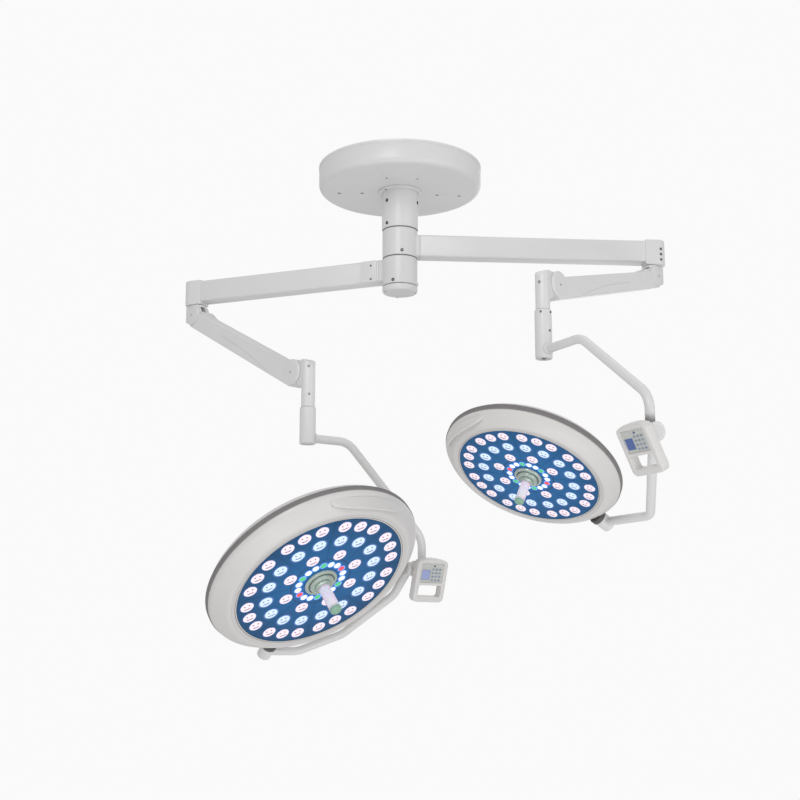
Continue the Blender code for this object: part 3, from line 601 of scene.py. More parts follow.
def make_ceiling():
    root = Matrix()
    edge_top = CANOPY_BOTTOM + CANOPY_EDGE
    hole = TUBE_RADIUS + 0.002
    corner = arc((CANOPY_RADIUS - CANOPY_EDGE, edge_top), CANOPY_EDGE, 0, -90, 10)
    inner = arc((CANOPY_RADIUS - CANOPY_EDGE, edge_top), CANOPY_EDGE - SHEET, -90, 0, 8)
    section = [
        (CANOPY_RADIUS + 0.0012, CANOPY_TOP), (CANOPY_RADIUS + 0.0012, CANOPY_TOP - 0.006),
        (CANOPY_RADIUS - 0.0004, CANOPY_TOP - 0.0072), (CANOPY_RADIUS - 0.0004, CANOPY_TOP - 0.0095),
        (CANOPY_RADIUS, CANOPY_TOP - 0.0105), *corner, (hole, CANOPY_BOTTOM)]
    section += [(hole, CANOPY_BOTTOM + SHEET), *inner, (CANOPY_RADIUS - SHEET, CANOPY_TOP)]
    seam = 0.21  # degrees on each side of the split
    holes = {
        "canopy_rear_shell": ((-0.2002, 0.012), (-0.1247, 0.013), (0.1223, 0.031), (0.1956, 0.040)),
        "canopy_front_shell": ((-0.0424, -0.1255), (0.0559, -0.1167)),
    }
    for name, half_turn in (("canopy_rear_shell", 0), ("canopy_front_shell", 180)):
        start = CANOPY_SEAM + half_turn
        half = turned(section, WIDE, True, (start + seam, start + 180 - seam))
        shell = piece(f"{name}_skin", half, root, "paint", "ceiling", (name,))
        size = 0.0058 if half_turn == 0 else 0.0042
        for x, y in holes[name]:
            combine(shell, cylinder(size, -0.0785, -0.0812, centre=(x, y, 0), sides=FINE))
        spots = [((x, y, -0.0792), (0, 0, -1), size - 0.0012) for x, y in holes[name]]
        screws(f"{name}_screws", root, spots, "screw", "ceiling")
    top = CANOPY_BOTTOM - GAP
    low = top - COLLAR_HEIGHT
    ring = rounded([
        (TUBE_RADIUS + GAP, top), (COLLAR_RADIUS, top, 0.0006), (COLLAR_RADIUS, low, 0.0024),
        (TUBE_RADIUS + 0.0014, low, 0.0006), (TUBE_RADIUS + 0.0004, low + 0.0012)])
    collar = piece(
        "canopy_collar_ring", turned(ring, WIDE, True), root, "paint", "ceiling", ("canopy_collar",))
    out, azimuth = 0.0652, -134
    seat = cylinder(0.0044, low - 0.001, low + 0.0025, centre=ring_spot(out, azimuth, 0), sides=FINE)
    combine(collar, seat)
    spots = [(ring_spot(out, azimuth, low + 0.0016), (0, 0, -1), 0.0038)]
    screws("canopy_collar_screw", root, spots, "black", "ceiling")

    wall = TUBE_RADIUS - 0.007
    tube = rounded([
        (wall, -0.0123), (TUBE_RADIUS, -0.0123), (TUBE_RADIUS, TUBE_BOTTOM, 0.0016), (wall, TUBE_BOTTOM)])
    piece("drop_tube_skin", turned(tube, WIDE, True), root, "paint", "ceiling", ("drop_tube",))
    places = ((-135.7, -0.1231), (-135.4, -0.200), (-16.4, -0.1238), (44, -0.200))
    spots = wall_screws(TUBE_RADIUS, places, 0.0054)
    screws("drop_tube_set_screws", root, spots, "black", "ceiling")

    for tag, level in (("upper", TUBE_BOTTOM - 0.001), ("middle", -0.311), ("lower", CAP_TOP + 0.001)):
        ring = ring_section(0.047, HUB_RADIUS - 0.0006, level - 0.0007, level + 0.0007)
        piece(f"column_{tag}_seal", turned(ring, WIDE, True), root, "dark", "ceiling")

    cap = rounded([
        (0, CAP_TOP), (HUB_RADIUS, CAP_TOP, 0.0008), (HUB_RADIUS, CAP_BOTTOM + 0.0065, 0.001),
        (HUB_RADIUS - 0.0035, CAP_BOTTOM, 0.0030), (0.046, CAP_BOTTOM, 0.001),
        (0.0455, CAP_BOTTOM + 0.0012), (0, CAP_BOTTOM + 0.0012)])
    piece("column_cap", turned(cap, WIDE), root, "paint", "ceiling", ("spindle_cap",))
    places = [(ring_spot(0.0515, azimuth, CAP_BOTTOM), (0, 0, -1), 0.0032) for azimuth in (-155, -5, 100)]
    screws("column_cap_screws", root, places, "screw", "ceiling")


# ---------------------------------------------------------------- arms


def make_extension_arm(name, lamp, place):
    make, fasten = makers(name, "extension_arm", place)
    top, bottom = lamp["hub"]
    hub = rounded([
        (0.0405, bottom), (HUB_RADIUS - 0.002, bottom, 0.001), (HUB_RADIUS, bottom + 0.003, 0.001),
        (HUB_RADIUS, top - 0.003, 0.001), (HUB_RADIUS - 0.002, top, 0.001), (0.0405, top)])
    hub = make("hub_body", turned(hub, WIDE, True), "paint", "hub")
    boss = BEAM_WIDTH / 2 + 0.0004, BEAM_HEIGHT / 2 + 0.0004
    outline = rectangle(boss[0], -boss[1], boss[1], 0.0075)
    combine(hub, prism(outline, 0.0425, BEAM_START - 0.0009, "X"), "UNION")
    azimuth, level = lamp["hub_screw"]
    spots = wall_screws(HUB_RADIUS, ((azimuth, level), (azimuth + 120, level)), 0.0050)
    fasten("hub_screws", spots, "black")

    reach = lamp["reach"]
    beam_end = reach - HOUSING_BACK
    outline = rectangle(BEAM_WIDTH / 2, -BEAM_HEIGHT / 2, BEAM_HEIGHT / 2, BEAM_CORNER)
    beam = prism(outline, BEAM_START, beam_end, "X")
    beam = make("beam_body", beam, "paint", "extension_beam")
    softened(beam, 0.0007, 2)

    nose, cheek = reach + HOUSING_NOSE, HOUSING_RADIUS - 0.0005
    outline = arc((nose, 0), HOUSING_RADIUS, -90, 90, 48)
    outline += [(beam_end + GAP, cheek), (beam_end + GAP, -cheek)]
    housing = make(
        "housing_body", prism(outline, -HOUSING_BELOW, HOUSING_ABOVE, "Z"), "paint", "end_housing")
    softened(housing, 0.0026, 4, 50)
    combine(
        housing, cylinder(0.0205, -HOUSING_BELOW - 0.01, -HOUSING_BELOW + 0.070, centre=(reach, 0, 0)))
    if name == "small":
        way = upright(-69)
        spots = [
            (Vector((nose, 0, z)) + Vector(way) * (HOUSING_RADIUS + 0.0002), way, 0.0042)
            for z in (0.0085, -0.0097, -0.0278)]
        fasten("housing_set_screws", spots, "black")
    bump = cylinder(0.0085, 0.034, 0.0405, centre=(reach - 0.062, 0, 0), edge=0.002, sides=FINE)
    make("beam_plug", bump, "paint")

    if name == "large":
        face = BEAM_WIDTH / 2 + GAP
        outline = [(x + 0.097, z) for x, z in rectangle(0.027, -0.0355, 0.0355, 0.005)]
        cover = make("cover_plate", prism(outline, face, face + 0.0028), "paint", "access_cover")
        softened(cover, 0.0008, 2)
        spots = [((0.0895, face + 0.0030, z), (0, 1, 0), 0.0032) for z in (0.0191, -0.0262)]
        fasten("cover_screws", spots, "black")


def make_swivel(name, place):
    make, fasten = makers(name, "swivel", place)
    below = PIVOT_DROP - HOUSING_BELOW
    half = COVER_HALF
    side = rounded([
        (0, half + 0.0026), (0.021, half + 0.0020, 0.05), (0.0325, half - 0.0004, 0.006),
        (CHEEK_RADIUS, half - 0.0050, 0.003), (CHEEK_RADIUS, -half + 0.0050, 0.003),
        (0.0325, -half + 0.0004, 0.006), (0.021, -half - 0.0020, 0.05), (0, -half - 0.0026)], steps=6)
    knuckle = make("knuckle_body", along(turned(side, WIDE), "Y"), "paint", "rear_knuckle", "rear_pin")
    barrel = rounded([
        (0, -0.018), (half - 0.001, -0.018), (half - 0.001, below - 0.0036, 0.0012),
        (half - 0.0025, below - 0.0012, 0.001), (0, below - 0.0012)])
    combine(knuckle, turned(barrel, MEDIUM), "UNION")
    cheek = rounded([
        (-0.0355, below - 0.0012, 0.002), (-0.0355, -0.024, 0.008), (0, -0.024), (0, below - 0.0012)],
        True)
    combine(knuckle, prism(cheek, -0.025, 0.025), "UNION")
    combine(knuckle, cylinder(0.0200, 0.020, below + 0.066), "UNION")
    combine(knuckle, block((-0.0165, -0.0085, -0.06), (0.06, 0.0085, 0.028)))
    softened(knuckle, 0.0008, 2, 40)
    spots = [((0, side * (half + 0.0024), 0), (0, side, 0), 0.0028) for side in (-1, 1)]
    fasten("rear_pivot_screws", spots, "screw")


def make_spring_arm(name, place):
    make, fasten = makers(name, "spring_arm", place)
    end = 180 - degrees(asin(COVER_TOP_FRONT / COVER_NOSE))
    nose = arc((ARM_LENGTH, 0), COVER_NOSE, -62, end, 40)
    outline = [
        (0, COVER_BOTTOM_REAR), (ARM_LENGTH + 0.010, COVER_BOTTOM_FRONT), *nose, (0, COVER_TOP_REAR)]
    cover = make("cover_body", prism(outline, -COVER_HALF, COVER_HALF), "paint", "arm_cover")
    softened(cover, 0.0045, 4, 60)
    skin = COVER_SKIN
    end = 180 - degrees(asin((COVER_TOP_FRONT - skin) / (COVER_NOSE - skin)))
    inside = [(-0.01, COVER_BOTTOM_REAR + skin), (ARM_LENGTH + 0.008, COVER_BOTTOM_FRONT + skin + 0.002)]
    inside += [*arc((ARM_LENGTH, 0), COVER_NOSE - skin, -58, end, 24), (-0.01, COVER_TOP_REAR - skin)]
    combine(cover, prism(inside, -COVER_HALF + skin + 0.001, COVER_HALF - skin - 0.001))
    combine(cover, cylinder(SEAT_RADIUS, -0.04, 0.04, "Y", sides=WIDE))
    window = [(ARM_LENGTH, 0), *arc((ARM_LENGTH, 0), 0.060, -34, 68, 12)]
    combine(cover, prism(window, -0.0175, 0.0175))

    hump = [
        (0.041, 0.016), (0.0415, 0.0235), (0.046, 0.0272), (0.054, 0.0272), (0.078, 0.0222),
        (0.096, 0.0186), (0.096, 0.016)]
    shroud = make("arm_shroud", prism(flowing(hump, 4), -0.0205, 0.0205), "paint")
    softened(shroud, 0.003, 3, 60)
    for side, tag in ((-1, "left"), (1, "right")):
        rim = rounded([
            (0, 0.0), (0.0335, 0.0, 0.0006), (0.0335, 0.0007, 0.0005), (0.0320, 0.0014, 0.0006),
            (0, 0.0018)])
        disc = turned(rim, WIDE)
        matrix = Matrix.Translation((ARM_LENGTH, side * (COVER_HALF - 0.0002), 0))
        matrix @= Matrix.Rotation(-side * pi / 2, 4, "X")
        make(f"front_disc_{tag}", moved(disc, matrix), "paint")
    spots = [((ARM_LENGTH + 0.0015, side * (COVER_HALF + 0.0016), -0.0012), (0, side, 0), 0.0028)
             for side in (-1, 1)]
    fasten("front_pivot_screws", spots, "screw")
    # Thin lines in the darker shell copy: painted shade of a crease along each side of the cover
    for side, tag in ((-1, "left"), (1, "right")):
        line = []
        for step in range(31):
            t = step / 30
            height = -0.0385 + 0.0265 * (1 - (1 - t) ** 2.6)
            line.append(Vector((0.50 - 0.30 * t, side * (COVER_HALF + 0.0001), height)))
        make(f"cover_line_{tag}", swept(line, 0.0007, (0, 1, 0), 8), "bevel", slot="paint")


def make_front_knuckle(name, lamp, place):
    make, fasten = makers(name, "front_upright", place)
    bottom = lamp["upright"]
    profile = rounded([
        (0, bottom), (KNUCKLE_RADIUS - 0.001, bottom, 0.0008), (KNUCKLE_RADIUS, bottom + 0.0012, 0.0008),
        (KNUCKLE_RADIUS, KNUCKLE_TOP - 0.002, 0.002), (KNUCKLE_RADIUS - 0.004, KNUCKLE_TOP, 0.003),
        (0, KNUCKLE_TOP + 0.0006)])
    shape = along(turned(profile, MEDIUM), "Z", (KNUCKLE_REACH, 0, 0))
    knuckle = make("upright_body", shape, "paint", "front_knuckle")
    shoulder = rounded([
        (0.018, KNUCKLE_TOP), (KNUCKLE_REACH, KNUCKLE_TOP), (KNUCKLE_REACH, -0.052),
        (0.036, -0.050, 0.006), (0.0225, -0.034)], True)
    combine(knuckle, prism(shoulder, -0.020, 0.020), "UNION")
    combine(knuckle, cylinder(NOSE_SEAT, -0.06, 0.06, "Y", sides=WIDE))
    outer = KNUCKLE_REACH + KNUCKLE_RADIUS
    slope = [
        (outer - 0.020, KNUCKLE_TOP + 0.001), (outer + 0.01, KNUCKLE_TOP - 0.029),
        (outer + 0.01, KNUCKLE_TOP + 0.01)]
    combine(knuckle, prism(slope, -0.04, 0.04))
    combine(knuckle, block((0.030, -0.0042, 0.020), (0.0615, 0.0042, 0.05)))
    softened(knuckle, 0.0008, 2, 40)
    fork = [
        (KNUCKLE_REACH, -0.013), (KNUCKLE_REACH, 0.013), (0.010, 0.0145), (-0.008, 0.0125),
        (-0.0145, 0.0), (-0.010, -0.022), (-0.004, -0.029), (0.005, -0.029), (0.012, -0.022),
        (0.024, -0.013)]
    for low, high in ((-0.016, -0.0085), (0.0085, 0.016)):
        combine(knuckle, prism(fork, low, high), "UNION")
    combine(
        knuckle, cylinder(0.0120, bottom - 0.085, bottom + 0.01, centre=(KNUCKLE_REACH, 0, 0)), "UNION")
    if name == "large":
        level = -0.086
        profile = rounded([
            (KNUCKLE_RADIUS - 0.001, level - 0.0012), (KNUCKLE_RADIUS + 0.0005, level - 0.0008, 0.0003),
            (KNUCKLE_RADIUS + 0.0005, level + 0.0008, 0.0003), (KNUCKLE_RADIUS - 0.001, level + 0.0012)])
        ring = along(turned(profile, MEDIUM, True), "Z", (KNUCKLE_REACH, 0, 0))
        make("upright_ring", ring, "paint")

    def on_side(azimuth, level, radius):
        spot = Vector(upright(azimuth)) * (KNUCKLE_RADIUS + 0.0002) + Vector((KNUCKLE_REACH, 0, level))
        return (spot, upright(azimuth), radius)

    if name == "small":
        fasten("upright_screw", [on_side(10, -0.0058, 0.0042)], "screw")
    else:
        fasten("upright_screws", [on_side(-38, 0.0086, 0.0042), on_side(-31, -0.0784, 0.0034)], "screw")


# ---------------------------------------------------------------- suspension


def make_sleeve(name, lamp, place):
    make, fasten = makers(name, "suspension_bow", place)
    top = lamp["upright"] - 0.001
    radius = SLEEVE_RADIUS
    profile = rounded([
        (0, top - 0.090), (0.0125, top - 0.090), (0.0125, top), (radius - 0.0014, top, 0.0008),
        (radius, top - 0.0016, 0.0008), (radius, SLEEVE_BOTTOM + 0.0022, 0.0010),
        (radius - 0.0022, SLEEVE_BOTTOM, 0.0010), (radius - 0.0062, SLEEVE_BOTTOM, 0.0004),
        (radius - 0.0066, SLEEVE_BOTTOM + 0.0024, 0.0004), (0, SLEEVE_BOTTOM + 0.0024)])
    make("sleeve_body", turned(profile, WIDE), "paint", "yaw_sleeve")
    if name == "small":
        fasten("sleeve_bolt", [((0, 0.0, SLEEVE_BOTTOM + 0.0022), (0, 0, -1), 0.0075)], "screw")
        places = ((80, -0.1501), (18, -0.0950), (93, -0.0950))
        spots = wall_screws(radius + 0.0002, places, 0.0032)
        fasten("sleeve_set_screws", spots, "black")


def make_upper_bow(name, lamp, place):
    make, _ = makers(name, "suspension_bow", place)
    height = lamp["drop"] + lamp["bow_level"]
    reach, fall = lamp["bow_reach"], lamp["bow_fall"]
    corners = [(0.008, 0, height), (lamp["bow_corner"], 0, height), (reach, 0, fall), (reach, 0, 0)]
    tube = swept(bent_path(corners, 0.075), BOW_RADIUS, (0, 1, 0), FINE)
    tube = make("upper_tube", tube, "paint", "upper_bow")
    weld = rounded([
        (0, 0.0), (BOW_RADIUS + 0.0045, 0.0, 0.001), (BOW_RADIUS + 0.0038, 0.006, 0.003),
        (BOW_RADIUS - 0.0004, 0.0105), (0, 0.0105)])
    combine(tube, along(turned(weld, MEDIUM), "X", (SLEEVE_RADIUS - 0.004, 0, height)), "UNION")
    combine(tube, cylinder(SLEEVE_RADIUS + GAP, height - 0.05, height + 0.05, sides=WIDE))
    combine(tube, cylinder(PIVOT_RADIUS + GAP, -0.05, 0.05, "X", (reach, 0, 0), WIDE))

    low, high = -PIVOT_IN, PIVOT_OUT
    radius = PIVOT_RADIUS
    barrel = rounded([
        (0, low), (radius - 0.0015, low, 0.0008), (radius, low + 0.0015, 0.0008),
        (radius, high - 0.0085, 0.0004), (radius - 0.0008, high - 0.0080, 0.0002),
        (radius - 0.0008, high - 0.0070, 0.0002), (radius, high - 0.0065, 0.0004),
        (radius, high - 0.0025, 0.0014), (radius - 0.0025, high, 0.0014), (radius * 0.62, high, 0.0005),
        (radius * 0.60, high - 0.0010), (0, high - 0.0010)])
    housing = along(turned(barrel, WIDE), "X", (reach, 0, 0))
    housing = make("pivot_body", housing, "paint", "pivot_housing")
    combine(housing, cylinder(0.0106, -0.045, 0.008, "X", (reach, 0, 0)))


def make_panel(name, lamp, place):
    make, _ = makers(name, "suspension_bow", place)
    half = PANEL_WIDTH / 2
    outline = rounded([
        (half, PANEL_BOTTOM, 0.016), (half, PANEL_TOP - 0.004, 0.014),
        (half * 0.55, PANEL_TOP + 0.0045, 0.10), (0, PANEL_TOP + 0.0062, 0.12),
        (-half * 0.55, PANEL_TOP + 0.0045, 0.10), (-half, PANEL_TOP - 0.004, 0.014),
        (-half, PANEL_BOTTOM, 0.016)], True, 8)
    case = make("panel_body", prism(outline, PANEL_FRONT, PANEL_BACK), "shell", "panel_case")
    softened(case, 0.0045, 5, 50)
    combine(case, block((-0.026, PANEL_BACK - 0.002, -0.026), (0.026, BRACKET_BACK, 0.026)), "UNION")
    slot = rectangle(GRIP_WIDTH / 2, GRIP_BOTTOM, GRIP_TOP, 0.0075)
    combine(case, prism(slot, -0.1, 0.0))
    pad = rectangle(KEYPAD_WIDTH / 2, KEYPAD_BOTTOM, KEYPAD_TOP, 0.0045)
    recess = PANEL_FRONT + 0.004
    combine(case, prism(pad, PANEL_FRONT - 0.01, recess))
    softened(case, 0.0010, 2, 60)

    film = rectangle(KEYPAD_WIDTH / 2 - 0.0005, KEYPAD_BOTTOM + 0.0005, KEYPAD_TOP - 0.0005, 0.0040)
    film = make("keypad_film", prism(film, recess - 0.0018, recess - GAP), "keypad", "keypad")
    face = recess - 0.0018
    glass, opening, border = (
        [(x - 0.0225, z - 0.0055) for x, z in rectangle(half, -half, half, 0.0014)]
        for half in (0.0146, 0.0150, 0.0161))
    combine(film, prism(opening, face - 0.001, face + 0.0009))
    make("display", prism(glass, face + 0.0003, face + 0.0008), lamp["display"], slot="keypad")
    rim = make("display_rim", prism(border, face - 0.0004, face + 0.0004), "key", slot="keypad")
    combine(rim, prism(glass, face - 0.002, face + 0.002))

    keys, marks, pale = bmesh.new(), bmesh.new(), bmesh.new()
    for row in range(4):
        for column in range(3):
            x, z = 0.0030 + 0.0130 * column, 0.0120 - 0.0112 * row
            button = [(x + a, z + b) for a, b in rectangle(0.0048, -0.0034, 0.0034, 0.0016, 3)]
            add_copy(keys, prism(button, face - 0.0006, face + 0.0003))
            for mark in (-1, 0, 1)[: 1 + (row + column) % 3]:
                bar = rectangle(0.0004, -0.0014, 0.0014, 0.0002, 2)
                stroke = [(x + a + mark * 0.0016, z + b) for a, b in bar]
                add_copy(marks, prism(stroke, face - 0.0008, face - 0.0003))
    for index, x in enumerate((0.0070, 0.0185, 0.0290)):
        dot = cylinder(0.0028 - 0.0009 * min(index, 1), -0.0009, 0.0002, "Y", (x, face, 0.0225), 20)
        add_copy(marks if index == 0 else pale, dot)
    icon = [(-0.0215 + a, 0.0220 + b) for a, b in rectangle(0.0042, -0.0022, 0.0022, 0.0008, 3)]
    add_copy(pale, prism(icon, face - 0.0005, face + 0.0003))
    make("keys", keys, "key", slot="keypad")
    make("key_marks", marks, "mark", slot="keypad")
    make("key_pale_marks", pale, "pale", slot="keypad")


def make_lower_bow(name, lamp, place):
    make, fasten = makers(name, "tilt_bow", place)
    offset = Vector((0, 0, -lamp["sag"]))
    rim = lamp["head"]
    line = rim + 0.036
    stub_far = lamp["bow_reach"] - lamp["centre"] - PIVOT_IN - 0.0005
    middle = stub_far - BOW_RADIUS - 0.0015
    corners = [(middle, 0, 0)]
    corners += [(middle * x, line * y, offset.z * y) for x, y in lamp["lower_path"]]
    corners += [(0, line, offset.z)]
    tube = swept(bent_path(corners, 0.060), BOW_RADIUS, (0, 0, 1), FINE)
    bow = make("lower_tube", tube, "paint", "lower_bow")
    radius = STUB_RADIUS
    stub = rounded([
        (0, stub_far - STUB_LENGTH), (radius - 0.0025, stub_far - STUB_LENGTH, 0.0015),
        (radius, stub_far - STUB_LENGTH + 0.003, 0.0015), (radius, stub_far - 0.0014, 0.0006),
        (radius - 0.0012, stub_far, 0.0006), (0, stub_far)])
    combine(bow, along(turned(stub, MEDIUM), "X"), "UNION")
    combine(bow, cylinder(0.0100, stub_far - 0.005, stub_far + 0.036, "X"), "UNION")
    far, near = rim + 0.057, rim + 0.0145
    end = rounded([
        (0, near), (radius - 0.0012, near, 0.0006), (radius, near + 0.0014, 0.0006),
        (radius, far - 0.003, 0.0016), (radius - 0.0028, far, 0.0016), (radius * 0.6, far, 0.0004),
        (radius * 0.58, far - 0.0012), (0, far - 0.0012)])
    combine(bow, along(turned(end, MEDIUM), "Y", (0, 0, offset.z)), "UNION")
    combine(bow, cylinder(0.0100, rim + 0.0025, rim + 0.020, "Y", (0, 0, offset.z)), "UNION")
    fasten("lower_pivot_screw", [((0, far - 0.0010, offset.z), (0, 1, 0), 0.0046)], "screw")


# ---------------------------------------------------------------- heads


def make_head(name, lamp, place):
    make, fasten = makers(name, "head", place)
    rim = lamp["head"]
    skin = SHEET
    height = 0.26 * rim
    plate_z, lip = PLATE_LEVEL * rim, -0.162 * rim

    dome = flowing([
        (0.0001, height), (0.18 * rim, 0.995 * height), (0.35 * rim, 0.97 * height),
        (0.62 * rim, 0.84 * height), (0.85 * rim, 0.58 * height), (0.95 * rim, 0.34 * height),
        (rim - 0.005, 0.0103)], 6)
    inner = [(max(radius - skin, 0.0), level - skin * 0.6) for radius, level in dome[2:-1]]
    profile = [(0, height), *dome[1:], (rim - 0.005 - skin, 0.0103), *inner[::-1], (0, height - skin)]
    shell = make("rear_dome", turned(profile, WIDE), "shell", "rear_shell")
    ring = turned([
        (0.500 * rim, height * 0.905 - 0.0010), (0.504 * rim, height * 0.903 - 0.0010),
        (0.504 * rim, height), (0.500 * rim, height)], WIDE, True)
    combine(shell, ring)
    spots = []
    for azimuth in range(30, 390, 60):
        way = Vector((0.35 * cos(radians(azimuth)), 0.35 * sin(radians(azimuth)), 1.0))
        spots.append((ring_spot(0.56 * rim, azimuth, 0.874 * height), way, 0.0036))
    fasten("dome_screws", spots, "screw")

    band = [(rim - 0.014, -0.0055), (rim - 0.0012, -0.0055)]
    level = -0.0055
    for ridge in range(4):
        base = level + 0.0155 * ridge / 4
        band += [
            (rim + 0.0002, base + 0.0006), (rim + 0.0006, base + 0.0019), (rim + 0.0002, base + 0.0032),
            (rim - 0.0007, base + 0.0038)]
    band += [(rim - 0.0012, 0.010), (rim - 0.014, 0.010)]
    make("gasket_band", turned(band, WIDE, True), "gasket", "rim_gasket")

    curve = flowing([
        (rim - 0.0022, -0.0058), (rim - 0.0024, -0.0105), (rim - 0.0062, -0.060 * rim),
        (0.950 * rim, -0.092 * rim), (0.912 * rim, -0.126 * rim), (0.880 * rim, lip + 0.0035),
        (0.858 * rim, lip + 0.0004), (0.846 * rim, lip)], 6)
    inside = rounded([
        (0.840 * rim, lip), (0.835 * rim, lip + 0.001, 0.001), (0.8035 * rim, plate_z - 0.0008),
        (0.8035 * rim, plate_z + 0.002), (0.843 * rim, lip + 0.0036), (0.877 * rim, lip + 0.0076),
        (0.950 * rim - skin, -0.090 * rim + 0.001), (rim - 0.008, -0.016), (rim - 0.006, -0.0058)])
    make("bezel_ring", turned([*curve, *inside], WIDE, True), "shell", "bezel")
    # The bezel's inner slope, drawn in the darker shell copy as painted shade
    slope = rounded([
        (0.8375 * rim, lip - 0.0002), (0.8335 * rim, lip + 0.0006, 0.0006),
        (0.8030 * rim, plate_z - 0.0016), (0.8022 * rim, plate_z - 0.0006),
        (0.8060 * rim, plate_z + 0.0004), (0.8375 * rim, lip + 0.0014)])
    make("bezel_inside", turned(slope, WIDE, True), "bevel", slot="shell")
    make_hand_grip(name, lamp, place)
    make_light_plate(name, lamp, place)

    mount = cylinder(0.024, rim - 0.008, rim + 0.0140, "Y", sides=WIDE, edge=0.0008)
    mount = make("rim_block", mount, "dark", "rim_mount")
    combine(mount, cylinder(rim + 0.0010, -0.05, 0.05, sides=2 * WIDE))
    combine(mount, cylinder(0.0106, rim - 0.01, rim + 0.02, "Y"))


def make_hand_grip(name, lamp, place):
    """A blade moulded on the bezel, with a hollow for the fingers on its outer side."""
    make, _ = makers(name, "head", place)
    rim = lamp["head"]
    shape = bmesh.new()
    rings = []
    count, span = 44, 25.0
    for step in range(count + 1):
        t = -1 + 2 * step / count
        rise = (1 - t * t) ** 0.6
        azimuth = lamp["grip"] + span * t
        crest = 0.950 - 0.012 * rise
        low = -0.098 - 0.095 * rise
        section = [
            (0.974, -0.068 - 0.010 * rise), (0.968, -0.090 - 0.020 * rise),
            (crest + 0.013, low + 0.034 * rise), (crest + 0.008, low + 0.005), (crest, low),
            (crest - 0.009, low + 0.004), (crest - 0.013, low + 0.026 * rise),
            (crest - 0.011, -0.112 - 0.015 * rise), (0.925, -0.085)]
        section = flowing(section, 3)
        rings.append([shape.verts.new(ring_spot(r * rim, azimuth, z * rim)) for r, z in section])
    for first, second in zip(rings, rings[1:]):
        for index in range(len(first)):
            after = (index + 1) % len(first)
            shape.faces.new([first[index], first[after], second[after], second[index]])
    shape.faces.new(rings[0][::-1])
    shape.faces.new(rings[-1])
    make("hand_grip", shape, "shell")


def lens_frame(radius, azimuth, level, marks):
    """A frame on the light plate, with +Z out of the plate and +X towards the marks' azimuth."""
    return (
        Matrix.Translation(ring_spot(radius, azimuth, level)) @ Matrix.Rotation(radians(marks), 4, "Z")
        @ Matrix.Rotation(pi, 4, "X"))


